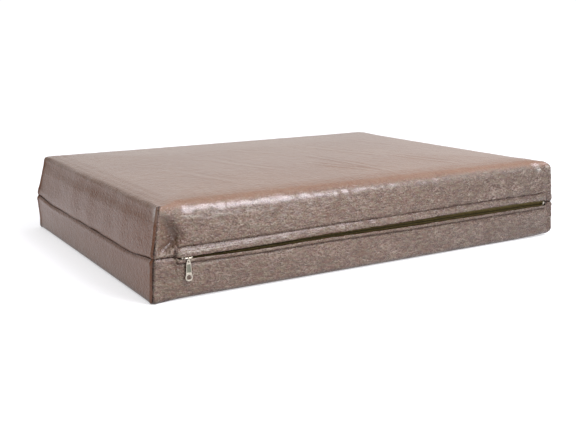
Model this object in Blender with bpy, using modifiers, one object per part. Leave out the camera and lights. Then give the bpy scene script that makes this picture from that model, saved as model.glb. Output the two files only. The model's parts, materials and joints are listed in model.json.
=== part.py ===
"""A pet cushion bed: a foam block in a two-shell vinyl cover, with a zip along one long side.

Metres, +Z up. The origin is the middle of the base, on the floor. +X runs along the zip,
away from its closed end, and the zip is on the -Y side.
"""

from math import pi

import bmesh
import bpy
from mathutils import Matrix, Vector

COLLECTION_NAME = "pet_cushion_bed"
CUTTER_COLLECTION_NAME = "pet_cushion_bed_cutters"

# Foam block
FOAM_LENGTH = 0.600
FOAM_WIDTH = 0.450
FOAM_HEIGHT = 0.100
FOAM_TOP_ROUND = 0.012
FOAM_BASE_ROUND = 0.007
ROUND_SEGMENTS = 5

# Vinyl cover
VINYL = 0.0012
COVER_TOP_ROUND = 0.014
COVER_BASE_ROUND = 0.008
SEAM_BELOW_MIDDLE = 0.001
LAYER_GAP = 0.0003

# Zip: sizes of its pieces
TAPE_THICKNESS = 0.0005
TAPE_WIDTH = 0.0146
TAPE_SPLIT = 0.0009
COIL_THICKNESS = 0.0014
COIL_WIDTH = 0.0023
COIL_SPLIT = 0.0008
SLIDER_LENGTH = 0.013
SLIDER_FLARE = 0.0009
SLIDER_PLATE = 0.0009
SLIDER_CORNER = 0.0012
FLANGE_THICKNESS = 0.0006
POST_LENGTH = 0.003
POST_HALF_WIDTH = 0.00045
BRIDGE_WIRE = 0.00065
BRIDGE_HALF_LENGTH = 0.0043
BRIDGE_BEND = 0.0009
STOP_LENGTH = 0.003

# Zip: where it lies
ZIP_BELOW_SEAM = 0.0022
ZIP_START_INSET = 0.0273
ZIP_END_INSET = 0.0138
RUNNING_GAP = 0.0004
STOP_GAP = 0.0005

# Turned hems on both sides of the zip, as distances from the zip's centre line
HEM_THICKNESS = 0.0013
HEM_END_LAP = 0.001
FLAP_EDGE_START = 0.0016
FLAP_EDGE_END = 0.0040
FLAP_ROOT = 0.0155
LIP_EDGE_START = 0.0016
LIP_EDGE_END = 0.0021
LIP_ROOT = 0.0095
HEM_ROOT_LAP = 0.001
WALL_BITE = 0.0002

# Threads
THREAD_RADIUS = 0.00035
FLAP_STITCH_HEIGHT = 0.0114
LIP_STITCH_DROP = 0.0068
TACK_WIDTH = 0.0015
TACK_THICKNESS = 0.0007
TACK_LENGTH = 0.0108
TACK_GAP = 0.0005

# Pull
PULL_STAND_OFF = 0.0013
EYE_RADIUS = 0.0013
EYE_WIRE = 0.0004
EYE_STEPS = 20
NECK_LENGTH = 0.0066
NECK_TOP_WIDTH = 0.0014
PULL_WIDTH = 0.007
PULL_THICKNESS = 0.0013
PULL_LENGTH = 0.0264
PULL_END_RADIUS = 0.0045
PULL_HOLE_RADIUS = 0.0018
PULL_RECESS_WIDTH = 0.0042
PULL_RECESS_LENGTH = 0.0085
PULL_RECESS_DEPTH = 0.0003
PULL_CORNER = 0.001

# Layers of the zip, outwards from the foam's front face
BACK_PLATE_IN = RUNNING_GAP
BACK_PLATE_OUT = BACK_PLATE_IN + SLIDER_PLATE
TAPE_IN = BACK_PLATE_OUT + RUNNING_GAP
TAPE_OUT = TAPE_IN + TAPE_THICKNESS
WALL_IN = TAPE_OUT + RUNNING_GAP
WALL_OUT = WALL_IN + VINYL
COIL_IN = TAPE_OUT + LAYER_GAP
COIL_OUT = COIL_IN + COIL_THICKNESS
FRONT_PLATE_IN = COIL_OUT + RUNNING_GAP
FRONT_PLATE_OUT = FRONT_PLATE_IN + SLIDER_PLATE
HEM_IN = FRONT_PLATE_OUT + RUNNING_GAP
HEM_OUT = HEM_IN + HEM_THICKNESS
PULL_AXIS_OUT = HEM_OUT + PULL_STAND_OFF

# Half widths of the slider, round the closed coil
SLIDER_REAR_HALF_WIDTH = COIL_SPLIT + COIL_WIDTH + RUNNING_GAP + FLANGE_THICKNESS
SLIDER_HALF_WIDTH = SLIDER_REAR_HALF_WIDTH + SLIDER_FLARE

# Outer box of the cover
HALF_LENGTH = FOAM_LENGTH / 2 + WALL_OUT
HALF_WIDTH = FOAM_WIDTH / 2 + WALL_OUT
FOAM_BASE = VINYL + LAYER_GAP
FOAM_TOP = FOAM_BASE + FOAM_HEIGHT
COVER_HEIGHT = FOAM_TOP + LAYER_GAP + VINYL
SEAM_Z = COVER_HEIGHT / 2 - SEAM_BELOW_MIDDLE

# Places along the zip
TOP_STOP_INSET = 0.0015
BOTTOM_STOP_INSET = 0.005
ZIP_Z = SEAM_Z - ZIP_BELOW_SEAM
ZIP_START = -HALF_LENGTH + ZIP_START_INSET
ZIP_END = HALF_LENGTH - ZIP_END_INSET
TOP_STOP_START = ZIP_START + TOP_STOP_INSET
CHAIN_START = TOP_STOP_START + STOP_LENGTH + LAYER_GAP
SLIDER_X = TOP_STOP_START + STOP_LENGTH + STOP_GAP + SLIDER_LENGTH / 2
BOTTOM_STOP_START = ZIP_END - BOTTOM_STOP_INSET
CHAIN_END = BOTTOM_STOP_START - LAYER_GAP

SIDES = (("upper", 1), ("lower", -1))
MICRON = 1e-6


# --- scene, materials and general helpers ---------------------------------------------


def clear_scene():
    for existing in list(bpy.data.objects):
        bpy.data.objects.remove(existing, do_unlink=True)


def new_collection(name, hidden=False):
    collection = bpy.data.collections.new(name)
    bpy.context.scene.collection.children.link(collection)
    collection.hide_render = hidden
    return collection


def new_material(name, colour, roughness, metallic=0.0):
    material = bpy.data.materials.new(name)
    material.use_nodes = True
    shader = material.node_tree.nodes["Principled BSDF"]
    shader.inputs["Base Color"].default_value = (*colour, 1.0)
    shader.inputs["Roughness"].default_value = roughness
    shader.inputs["Metallic"].default_value = metallic
    return material


def new_object(name, mesh, material, collection, location=(0.0, 0.0, 0.0)):
    obj = bpy.data.objects.new(name, mesh)
    obj.location = location
    if material:
        mesh.materials.append(material)
    collection.objects.link(obj)
    return obj


def mesh_of(name, bm):
    bmesh.ops.recalc_face_normals(bm, faces=bm.faces)
    mesh = bpy.data.meshes.new(name)
    bm.to_mesh(mesh)
    bm.free()
    return mesh


def box_bmesh(low, high):
    """A cube primitive stretched between two corners."""
    low, high = Vector(low), Vector(high)
    bm = bmesh.new()
    bmesh.ops.create_cube(bm, size=1.0)
    bmesh.ops.scale(bm, vec=high - low, verts=bm.verts)
    bmesh.ops.translate(bm, vec=(low + high) / 2, verts=bm.verts)
    return bm


def round_edges(bm, wanted, radius, segments):
    """Bevels the edges for which wanted(edge) is true."""
    edges = [edge for edge in bm.edges if wanted(edge)]
    bmesh.ops.bevel(
        bm, geom=edges, offset=radius, segments=segments, profile=0.5, affect="EDGES"
    )


def level_edge(z):
    """Tells whether both ends of an edge are at height z."""
    return lambda edge: all(abs(vert.co.z - z) < MICRON for vert in edge.verts)


def parallel_to(axis):
    """Tells whether an edge runs along an axis."""

    def test(edge):
        run = edge.verts[1].co - edge.verts[0].co
        return abs(run.normalized()[axis]) > 1 - MICRON

    return test


def helper(name, mesh, collection, location=(0.0, 0.0, 0.0)):
    """A cutter, or a piece that a Boolean joins: it never renders."""
    obj = new_object(name, mesh, None, collection, location)
    obj.hide_render = True
    obj.display_type = "WIRE"
    return obj


def add_boolean(obj, other, operation):
    modifier = obj.modifiers.new(other.name, "BOOLEAN")
    modifier.operation = operation
    modifier.solver = "EXACT"
    modifier.object = other


def mesh_from_curve(name, curve, matrix=None):
    """The closed mesh of a curve, with its caps welded on."""
    if matrix is None:
        matrix = Matrix.Identity(4)
    guide = bpy.data.objects.new(name, curve)
    bpy.context.scene.collection.objects.link(guide)
    graph = bpy.context.evaluated_depsgraph_get()
    mesh = bpy.data.meshes.new_from_object(guide.evaluated_get(graph))
    bpy.data.objects.remove(guide, do_unlink=True)
    bm = bmesh.new()
    bm.from_mesh(mesh)
    bmesh.ops.remove_doubles(bm, verts=bm.verts, dist=MICRON)
    bmesh.ops.transform(bm, matrix=matrix, verts=bm.verts)
    bpy.data.meshes.remove(mesh)
    return mesh_of(name, bm)


def wire_mesh(name, points, radius, bevel_resolution=2):
    """A round wire along straight runs, with filled ends."""
    curve = bpy.data.curves.new(name, "CURVE")
    curve.dimensions = "3D"
    curve.bevel_depth = radius
    curve.bevel_resolution = bevel_resolution
    curve.use_fill_caps = True
    spline = curve.splines.new("POLY")
    spline.points.add(len(points) - 1)
    for target, point in zip(spline.points, points):
        target.co = (*point, 1.0)
    return mesh_from_curve(name, curve)


def outline_mesh(name, points, thickness, matrix=None):
    """A flat closed outline given half its thickness each way."""
    curve = bpy.data.curves.new(name, "CURVE")
    curve.dimensions = "2D"
    curve.fill_mode = "BOTH"
    curve.extrude = thickness / 2
    spline = curve.splines.new("POLY")
    spline.points.add(len(points) - 1)
    for target, point in zip(spline.points, points):
        target.co = (*point, 0.0, 1.0)
    spline.use_cyclic_u = True
    return mesh_from_curve(name, curve, matrix)


def zip_box(along, out, up):
    """A box beside the zip: along X, outwards from the foam, and up from the zip's centre."""
    front = -FOAM_WIDTH / 2
    low = (along[0], front - out[1], ZIP_Z + up[0])
    high = (along[1], front - out[0], ZIP_Z + up[1])
    return box_bmesh(low, high)


# --- foam and cover -------------------------------------------------------------------


def make_foam(material, collection):
    low = (-FOAM_LENGTH / 2, -FOAM_WIDTH / 2, FOAM_BASE)
    high = (FOAM_LENGTH / 2, FOAM_WIDTH / 2, FOAM_TOP)
    bm = box_bmesh(low, high)
    round_edges(bm, level_edge(FOAM_TOP), FOAM_TOP_ROUND, ROUND_SEGMENTS)
    round_edges(bm, level_edge(FOAM_BASE), FOAM_BASE_ROUND, ROUND_SEGMENTS)
    return new_object("foam_core", mesh_of("foam_core", bm), material, collection)


def make_shell(name, closed_z, open_z, rim_round, material, collection):
    """Half of the cover: a box open at the mid seam, its closed face round at the rims and
    mitred at the four corner seams, one vinyl thick inwards."""
    low = (-HALF_LENGTH, -HALF_WIDTH, min(closed_z, open_z))
    high = (HALF_LENGTH, HALF_WIDTH, max(closed_z, open_z))
    bm = box_bmesh(low, high)
    mouth = [face for face in bm.faces if abs(face.calc_center_median().z - open_z) < MICRON]
    bmesh.ops.delete(bm, geom=mouth, context="FACES_ONLY")
    round_edges(bm, level_edge(closed_z), rim_round, ROUND_SEGMENTS)
    bmesh.ops.recalc_face_normals(bm, faces=bm.faces)
    flat = next(face for face in bm.faces if abs(face.normal.z) > 1 - MICRON)
    if flat.normal.z * (closed_z - open_z) < 0:
        bmesh.ops.reverse_faces(bm, faces=bm.faces)
    mesh = bpy.data.meshes.new(name)
    bm.to_mesh(mesh)
    bm.free()
    shell = new_object(name, mesh, material, collection)
    wall = shell.modifiers.new("vinyl", "SOLIDIFY")
    wall.thickness = VINYL
    wall.offset = -1.0
    wall.use_even_offset = True
    return shell


def hem_mesh(name, side, root, edge_start, edge_end):
    """A turned hem that leaves the wall at its root and stands in front of the slider.

    side is +1 above the zip and -1 below it. The free edge runs from edge_start at the
    closed end to edge_end at the other."""
    plate_edge = SLIDER_HALF_WIDTH + RUNNING_GAP
    section = [
        (WALL_IN + WALL_BITE, root),
        (HEM_IN, plate_edge),
        (HEM_IN, edge_start),
        (HEM_OUT, edge_start),
        (HEM_OUT, plate_edge),
        (WALL_OUT - WALL_BITE, root + HEM_ROOT_LAP),
    ]
    start, end = ZIP_START - HEM_END_LAP, ZIP_END + HEM_END_LAP
    outwards, upwards, along = Vector((0, -1, 0)), Vector((0, 0, side)), Vector((1, 0, 0))
    place = Matrix.Identity(4)
    for column, direction in enumerate((outwards, upwards, along)):
        place.col[column].xyz = direction
    place.translation = Vector(((start + end) / 2, -FOAM_WIDTH / 2, ZIP_Z))
    mesh = outline_mesh(name, section, end - start, place)
    for vert in mesh.vertices:
        height = side * (vert.co.z - ZIP_Z)
        if vert.co.x > 0 and abs(height - edge_start) < MICRON:
            vert.co.z = ZIP_Z + side * edge_end
    return mesh


def make_cover(material, collection, cutters):
    top = make_shell(
        "cover_top", COVER_HEIGHT, SEAM_Z + LAYER_GAP / 2, COVER_TOP_ROUND, material, collection
    )
    bottom = make_shell(
        "cover_bottom", 0.0, SEAM_Z - LAYER_GAP / 2, COVER_BASE_ROUND, material, collection
    )
    sides = {
        top: ("flap_hem", 1, FLAP_ROOT, FLAP_EDGE_START, FLAP_EDGE_END),
        bottom: ("lip_hem", -1, LIP_ROOT, LIP_EDGE_START, LIP_EDGE_END),
    }
    for shell, (name, side, root, edge_start, edge_end) in sides.items():
        up = sorted((side * (root - HEM_THICKNESS), SEAM_Z - ZIP_Z - side * VINYL))
        notch_box = zip_box((ZIP_START, ZIP_END), (WALL_IN - VINYL, WALL_OUT + VINYL), up)
        notch = mesh_of(name + "_notch", notch_box)
        add_boolean(shell, helper(name + "_notch", notch, cutters), "DIFFERENCE")
        hem = hem_mesh(name, side, root, edge_start, edge_end)
        add_boolean(shell, helper(name, hem, cutters), "UNION")


# --- zip ------------------------------------------------------------------------------


def half_box(along, out, near, far, side):
    """A zip_box from near to far of the centre line, above it or below it."""
    return zip_box(along, out, (near, far) if side > 0 else (-far, -near))


def make_tapes_and_coils(tape_material, coil_material, metal, collection):
    tape = (TAPE_IN, TAPE_OUT), TAPE_SPLIT, TAPE_WIDTH
    coil = (COIL_IN, COIL_OUT), COIL_SPLIT, COIL_WIDTH
    stop_along = (TOP_STOP_START, TOP_STOP_START + STOP_LENGTH)
    pieces = (
        ("zip_tape_", (ZIP_START, ZIP_END), tape, tape_material),
        ("zip_coil_", (CHAIN_START, CHAIN_END), coil, coil_material),
        ("top_stop_", stop_along, coil, metal),
    )
    for side_name, side in SIDES:
        for name, along, (out, near, width), material in pieces:
            bm = half_box(along, out, near, near + width, side)
            new_object(name + side_name, mesh_of(name + side_name, bm), material, collection)
    reach = COIL_SPLIT + COIL_WIDTH
    along = (BOTTOM_STOP_START, BOTTOM_STOP_START + STOP_LENGTH)
    stop = zip_box(along, (COIL_IN, COIL_OUT), (-reach, reach))
    new_object("bottom_stop", mesh_of("bottom_stop", stop), metal, collection)


def slider_plate(name, out):
    """A plate of the slider, narrower behind, about the slider's own centre."""
    half = SLIDER_LENGTH / 2
    bm = box_bmesh((-half, -out[1], -SLIDER_HALF_WIDTH), (half, -out[0], SLIDER_HALF_WIDTH))
    for vert in bm.verts:
        if vert.co.x > 0:
            vert.co.z *= SLIDER_REAR_HALF_WIDTH / SLIDER_HALF_WIDTH
    round_edges(bm, parallel_to(1), SLIDER_CORNER, 3)
    return mesh_of(name, bm)


def make_slider(metal, collection, cutters):
    """Two plates joined by a post at the mouth, side flanges, and a wire bridge for the pull."""
    centre = Vector((SLIDER_X, -FOAM_WIDTH / 2, ZIP_Z))
    slider = new_object(
        "slider_body",
        slider_plate("slider_body", (FRONT_PLATE_IN, FRONT_PLATE_OUT)),
        metal,
        collection,
        centre,
    )
    bite = SLIDER_PLATE / 3
    half = SLIDER_LENGTH / 2
    channel = (BACK_PLATE_OUT - bite, FRONT_PLATE_IN + bite)
    post_start = -half + SLIDER_CORNER
    post = box_bmesh(
        (post_start, -channel[1], -POST_HALF_WIDTH),
        (post_start + POST_LENGTH, -channel[0], POST_HALF_WIDTH),
    )
    joined = [
        ("slider_back_plate", slider_plate("slider_back_plate", (BACK_PLATE_IN, BACK_PLATE_OUT))),
        ("slider_post", mesh_of("slider_post", post)),
    ]
    flange_outer = SLIDER_REAR_HALF_WIDTH
    flange_reach = half - SLIDER_CORNER
    for side_name, side in SIDES:
        ends = sorted((side * flange_outer, side * (flange_outer - FLANGE_THICKNESS)))
        flange = box_bmesh(
            (-flange_reach, -channel[1], ends[0]),
            (flange_reach, -(TAPE_OUT + RUNNING_GAP), ends[1]),
        )
        name = "slider_flange_" + side_name
        joined.append((name, mesh_of(name, flange)))
    foot, crown = FRONT_PLATE_IN + SLIDER_PLATE / 2, PULL_AXIS_OUT
    arch = [
        (-BRIDGE_HALF_LENGTH, -foot, 0.0),
        (-BRIDGE_HALF_LENGTH, -(crown - BRIDGE_BEND), 0.0),
        (-BRIDGE_HALF_LENGTH + BRIDGE_BEND, -crown, 0.0),
        (BRIDGE_HALF_LENGTH - BRIDGE_BEND, -crown, 0.0),
        (BRIDGE_HALF_LENGTH, -(crown - BRIDGE_BEND), 0.0),
        (BRIDGE_HALF_LENGTH, -foot, 0.0),
    ]
    joined.append(("slider_bridge", wire_mesh("slider_bridge", arch, BRIDGE_WIRE)))
    for name, mesh in joined:
        add_boolean(slider, helper(name, mesh, cutters, centre), "UNION")
    return slider


def eye_mesh(name):
    """The pull's eye: a ring round the bridge, its axis along X."""
    bm = bmesh.new()
    bmesh.ops.create_circle(bm, segments=8, radius=EYE_WIRE)
    bmesh.ops.translate(bm, vec=(0.0, EYE_RADIUS, 0.0), verts=bm.verts)
    bmesh.ops.spin(
        bm,
        geom=bm.verts[:] + bm.edges[:],
        cent=(0, 0, 0),
        axis=(1, 0, 0),
        angle=2 * pi,
        steps=EYE_STEPS,
    )
    bmesh.ops.remove_doubles(bm, verts=bm.verts, dist=MICRON)
    return mesh_of(name, bm)


def cylinder_mesh(name, radius, depth, centre, segments=24):
    """A cylinder whose axis runs along Y."""
    bm = bmesh.new()
    place = Matrix.Translation(centre) @ Matrix.Rotation(pi / 2, 4, "X")
    bmesh.ops.create_cone(
        bm, cap_ends=True, segments=segments, radius1=radius, radius2=radius, depth=depth, matrix=place
    )
    return mesh_of(name, bm)


def make_pull(metal, slider, collection, cutters):
    """The pull, about its hinge on the bridge: eye, neck, framed plate and holed end."""
    half_thick = PULL_THICKNESS / 2
    half_wide = PULL_WIDTH / 2
    end_z = -PULL_LENGTH + PULL_END_RADIUS
    plate = box_bmesh((-half_wide, -half_thick, end_z), (half_wide, half_thick, -NECK_LENGTH))
    round_edges(plate, parallel_to(1), PULL_CORNER, 2)
    centre = Vector((SLIDER_X, -FOAM_WIDTH / 2 - PULL_AXIS_OUT, ZIP_Z))
    pull = new_object("pull_tab", mesh_of("pull_tab", plate), metal, collection)
    neck = [
        (-NECK_TOP_WIDTH / 2, -EYE_RADIUS),
        (-half_wide + PULL_CORNER, -NECK_LENGTH - PULL_CORNER),
        (half_wide - PULL_CORNER, -NECK_LENGTH - PULL_CORNER),
        (NECK_TOP_WIDTH / 2, -EYE_RADIUS),
    ]
    stand = Matrix.Rotation(pi / 2, 4, "X")
    neck_thick = 2 * EYE_WIRE
    joined = [
        ("pull_neck", outline_mesh("pull_neck", neck, neck_thick, stand)),
        ("pull_eye", eye_mesh("pull_eye")),
        ("pull_end", cylinder_mesh("pull_end", PULL_END_RADIUS, PULL_THICKNESS, (0, 0, end_z))),
    ]
    recess_top = -NECK_LENGTH - PULL_CORNER
    recess = box_bmesh(
        (-PULL_RECESS_WIDTH / 2, -2 * half_thick, recess_top - PULL_RECESS_LENGTH),
        (PULL_RECESS_WIDTH / 2, -half_thick + PULL_RECESS_DEPTH, recess_top),
    )
    hole = cylinder_mesh("pull_hole", PULL_HOLE_RADIUS, 3 * PULL_THICKNESS, (0, 0, end_z), 16)
    for name, mesh in joined:
        add_boolean(pull, helper(name, mesh, cutters, centre), "UNION")
    for name, mesh in (("pull_recess", mesh_of("pull_recess", recess)), ("pull_hole", hole)):
        add_boolean(pull, helper(name, mesh, cutters, centre), "DIFFERENCE")
    pull.parent = slider
    pull.location = centre - slider.location
    return pull


# --- threads --------------------------------------------------------------------------


def make_stitching(name, side, root, height, thread, collection):
    """One row of topstitching, a thread's gap off the sloping part of a hem."""
    plate_edge = SLIDER_HALF_WIDTH + RUNNING_GAP
    low = Vector((HEM_OUT, plate_edge))
    high = Vector((WALL_OUT - WALL_BITE, root + HEM_ROOT_LAP))
    share = (height - low.y) / (high.y - low.y)
    slope = (high - low).normalized()
    off_face = Vector((slope.y, -slope.x)) * (LAYER_GAP + THREAD_RADIUS)
    out, up = low.lerp(high, share) + off_face
    y, z = -FOAM_WIDTH / 2 - out, ZIP_Z + side * up
    row = wire_mesh(name, [(ZIP_START, y, z), (ZIP_END, y, z)], THREAD_RADIUS, 1)
    new_object(name, row, thread, collection)


def make_tacks(thread, collection):
    """The short bar tacks that close both ends of the zip."""
    out = (WALL_OUT + LAYER_GAP, WALL_OUT + LAYER_GAP + TACK_THICKNESS)
    left = ZIP_START - HEM_END_LAP - TACK_GAP
    right = ZIP_END + HEM_END_LAP + TACK_GAP
    ends = {
        "left_end_tack": (left - TACK_WIDTH, left),
        "right_end_tack": (right, right + TACK_WIDTH),
    }
    for name, along in ends.items():
        tack = zip_box(along, out, (0.0, TACK_LENGTH))
        new_object(name, mesh_of(name, tack), thread, collection)


# --- the whole bed --------------------------------------------------------------------


def shade_round_pieces(names):
    for name in names:
        mesh = bpy.data.objects[name].data
        mesh.shade_smooth()
        mesh.set_sharp_from_angle(angle=0.6)


def main():
    clear_scene()
    parts = new_collection(COLLECTION_NAME)
    cutters = new_collection(CUTTER_COLLECTION_NAME, hidden=True)
    vinyl = new_material("brown_vinyl", (0.19, 0.10, 0.075), 0.42)
    foam = new_material("cream_foam", (0.72, 0.66, 0.48), 0.95)
    tape = new_material("olive_tape", (0.15, 0.11, 0.035), 0.85)
    coil = new_material("olive_coil", (0.20, 0.15, 0.06), 0.45)
    nickel = new_material("nickel", (0.58, 0.55, 0.50), 0.28, metallic=1.0)
    thread = new_material("brown_thread", (0.16, 0.085, 0.06), 0.7)
    make_foam(foam, parts)
    make_cover(vinyl, parts, cutters)
    make_tapes_and_coils(tape, coil, nickel, parts)
    slider = make_slider(nickel, parts, cutters)
    make_pull(nickel, slider, parts, cutters)
    make_stitching("flap_stitching", 1, FLAP_ROOT, FLAP_STITCH_HEIGHT, thread, parts)
    make_stitching("lip_stitching", -1, LIP_ROOT, LIP_STITCH_DROP, thread, parts)
    make_tacks(thread, parts)
    shade_round_pieces(("foam_core", "cover_top", "cover_bottom", "slider_body", "pull_tab"))


main()
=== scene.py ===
# %% [markdown]
# # A pet cushion bed in brown vinyl
#
# The real bed is a foam block inside a loose vinyl cover. The cover is two shells, an upper
# and a lower one, sewn together round the middle, with a zip in the middle seam of one long
# side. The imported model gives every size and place. This lesson builds the cloth, the foam,
# the zip and the threads round it, and gives each of them its finish.

import json
from math import cos, pi, radians, sin

import bmesh
import bpy
import numpy as np
from mathutils import Matrix, Vector, noise
from mathutils.kdtree import KDTree

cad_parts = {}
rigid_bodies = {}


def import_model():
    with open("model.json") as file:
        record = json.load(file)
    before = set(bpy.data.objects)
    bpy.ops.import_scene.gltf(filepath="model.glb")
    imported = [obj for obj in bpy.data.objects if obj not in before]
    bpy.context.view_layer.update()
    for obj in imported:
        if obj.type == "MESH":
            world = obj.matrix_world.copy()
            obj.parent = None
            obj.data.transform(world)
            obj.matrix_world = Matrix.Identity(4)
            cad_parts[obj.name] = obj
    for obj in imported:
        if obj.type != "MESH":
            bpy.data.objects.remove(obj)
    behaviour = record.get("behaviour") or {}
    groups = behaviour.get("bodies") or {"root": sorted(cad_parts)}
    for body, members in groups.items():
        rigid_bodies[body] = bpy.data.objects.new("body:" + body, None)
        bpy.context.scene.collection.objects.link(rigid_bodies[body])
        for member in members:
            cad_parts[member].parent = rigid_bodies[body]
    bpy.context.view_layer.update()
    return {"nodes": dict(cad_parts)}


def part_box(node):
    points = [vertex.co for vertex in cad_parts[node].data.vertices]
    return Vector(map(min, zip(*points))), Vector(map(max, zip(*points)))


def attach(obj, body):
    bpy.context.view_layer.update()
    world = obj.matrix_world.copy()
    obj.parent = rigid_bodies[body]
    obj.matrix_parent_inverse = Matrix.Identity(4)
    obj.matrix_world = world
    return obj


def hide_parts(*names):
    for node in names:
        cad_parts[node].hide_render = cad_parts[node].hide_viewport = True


for leftover in list(bpy.data.objects):
    bpy.data.objects.remove(leftover, do_unlink=True)
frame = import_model()

# %% [markdown]
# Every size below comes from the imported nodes, so that the looks follow the model. The seam
# height is where the lower shell ends, and the middle of the bottom stop gives the middle of
# the zip. The foam lies a little above the floor, and the vinyl fills four fifths of that gap.

# %% Sizes taken from the frame
MM = 0.001
foam_low, foam_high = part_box("foam_core")
tape_low, tape_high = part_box("zip_tape_upper")
stop_low, stop_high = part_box("bottom_stop")
pull_low, pull_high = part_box("pull_tab")

HALF_LENGTH, HALF_WIDTH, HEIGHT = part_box("cover_top")[1]
SEAM_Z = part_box("cover_bottom")[1].z
ZIP_Z = (stop_low.z + stop_high.z) / 2
ZIP_START, ZIP_END = tape_low.x, tape_high.x
VINYL = foam_low.z * 0.8
print("half length, half width, height:", HALF_LENGTH, HALF_WIDTH, HEIGHT)
print("zip from", ZIP_START, "to", ZIP_END, "at height", ZIP_Z, "- vinyl", VINYL)

# %% [markdown]
# ## Floor, light and camera
#
# The bed stands in a white studio. The camera looks along the zip side from a little above,
# as for a catalogue, with a fairly long lens so that the far end isn't drawn small.

# %% Camera
CAMERA_PLACE = Vector((-0.6294, -1.0696, 0.2897))
CAMERA_TURN = radians(30.45)
CAMERA_TILT = radians(12.15)
CAMERA_ROLL = radians(-0.48)
CAMERA_LENS = 53.31


def add_camera():
    data = bpy.data.cameras.new("studio_camera")
    data.lens = CAMERA_LENS
    data.sensor_width = 36.0
    camera = bpy.data.objects.new("studio_camera", data)
    turn = Matrix.Rotation(-CAMERA_TURN, 4, "Z")
    tilt = Matrix.Rotation(pi / 2 - CAMERA_TILT, 4, "X")
    roll = Matrix.Rotation(CAMERA_ROLL, 4, "Z")
    camera.matrix_world = Matrix.Translation(CAMERA_PLACE) @ turn @ tilt @ roll
    bpy.context.scene.collection.objects.link(camera)
    bpy.context.scene.camera = camera
    return camera


camera = add_camera()
print("camera stands", round(CAMERA_PLACE.length, 2), "m from the middle of the bed")

# %% [markdown]
# A tree of nodes is easier to read as arithmetic. The class `Field` wraps one socket, and an
# expression such as `1 - mask * 0.5` adds the Math nodes that work it out. A `Graph` owns a
# tree, and its `node` method makes every other node: settings first, then the sockets.


# %% Sockets that can be used in arithmetic
class Field:
    """A number that varies from place to place, as the output socket that carries it."""

    def __init__(self, graph, socket):
        self.graph, self.socket = graph, socket

    def math(self, operation, *values):
        made = self.graph.node("ShaderNodeMath", {"operation": operation}, dict(enumerate(values)))
        return Field(self.graph, made.outputs[0])

    def __add__(self, other):
        return self.math("ADD", self, other)

    def __sub__(self, other):
        return self.math("SUBTRACT", self, other)

    def __rsub__(self, other):
        return self.math("SUBTRACT", other, self)

    def __mul__(self, other):
        return self.math("MULTIPLY", self, other)

    def __truediv__(self, other):
        return self.math("DIVIDE", self, other)

    __radd__ = __add__
    __rmul__ = __mul__

    def size(self):
        return self.math("ABSOLUTE", self)

    def rise(self, low, high):
        """0 below low and 1 above high, smooth between. low may be the larger."""
        settings = {"interpolation_type": "SMOOTHSTEP", "clamp": True}
        values = {"Value": self, "From Min": low, "From Max": high}
        made = self.graph.node("ShaderNodeMapRange", settings, values)
        return Field(self.graph, made.outputs[0])


class Graph:
    """A node tree, for a material, the surround or a geometry group."""

    def __init__(self, tree):
        self.tree = tree

    def feed(self, socket, value):
        value = value.socket if isinstance(value, Field) else value
        if isinstance(value, bpy.types.NodeSocket):
            self.tree.links.new(value, socket)
        else:
            socket.default_value = value

    def node(self, kind, settings=None, values=None):
        """Makes a node, sets its settings and feeds its sockets, named or numbered."""
        made = self.tree.nodes.new(kind)
        for key, value in (settings or {}).items():
            setattr(made, key, value)
        for key, value in (values or {}).items():
            if isinstance(key, int):
                self.feed(made.inputs[key], value)
            else:
                self.feed(next(s for s in made.inputs if key in (s.identifier, s.name)), value)
        return made


# %% [markdown]
# A material is the same kind of tree with a Principled shader at its end. The methods of
# `Finish` make the textures that the bed needs, and `wear` feeds them to the shader.


# %% Materials as graphs
class Finish(Graph):
    """One material: a Principled shader and the nodes that feed it."""

    def __init__(self, name):
        self.material = bpy.data.materials.new(name)
        self.material.use_nodes = True
        super().__init__(self.material.node_tree)
        self.shader = self.tree.nodes["Principled BSDF"]

    def wear(self, **inputs):
        """Feeds the shader's own sockets, named with _ for a space."""
        for socket, value in inputs.items():
            self.feed(self.shader.inputs[socket.replace("_", " ")], value)
        return self.material

    def place(self, scale=(1.0, 1.0, 1.0), turn=(0.0, 0.0, 0.0)):
        """Object coordinates, stretched and turned."""
        values = {"Vector": self.node("ShaderNodeTexCoord").outputs["Object"]}
        values.update({"Rotation": turn, "Scale": scale})
        return self.node("ShaderNodeMapping", {}, values).outputs[0]

    def noise(self, vector, scale, detail=2.0, roughness=0.5, distortion=0.0):
        values = {"Vector": vector, "Scale": scale, "Detail": detail}
        values.update({"Roughness": roughness, "Distortion": distortion})
        return Field(self, self.node("ShaderNodeTexNoise", {}, values).outputs[0])

    def creases(self, vector, scale, detail=3.0, roughness=0.55, distortion=0.0):
        """Noise folded about its middle value: 0 along a web of sharp lines."""
        return (self.noise(vector, scale, detail, roughness, distortion) - 0.5).size()

    def cells(self, vector, scale, feature="F1"):
        values = {"Vector": vector, "Scale": scale}
        made = self.node("ShaderNodeTexVoronoi", {"feature": feature}, values)
        return Field(self, made.outputs["Distance"])

    def mask(self, name):
        """An attribute stored on the mesh's points."""
        made = self.node("ShaderNodeAttribute", {"attribute_name": name})
        return Field(self, made.outputs["Fac"])

    def tint(self, factor, first, second):
        """One colour fading into another."""
        values = {"Factor_Float": factor, "A_Color": first, "B_Color": second}
        made = self.node("ShaderNodeMix", {"data_type": "RGBA"}, values)
        return next(socket for socket in made.outputs if socket.type == "RGBA")

    def bump(self, height, distance):
        values = {"Height": height, "Distance": distance, "Strength": 1.0}
        return self.node("ShaderNodeBump", {}, values).outputs[0]


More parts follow.
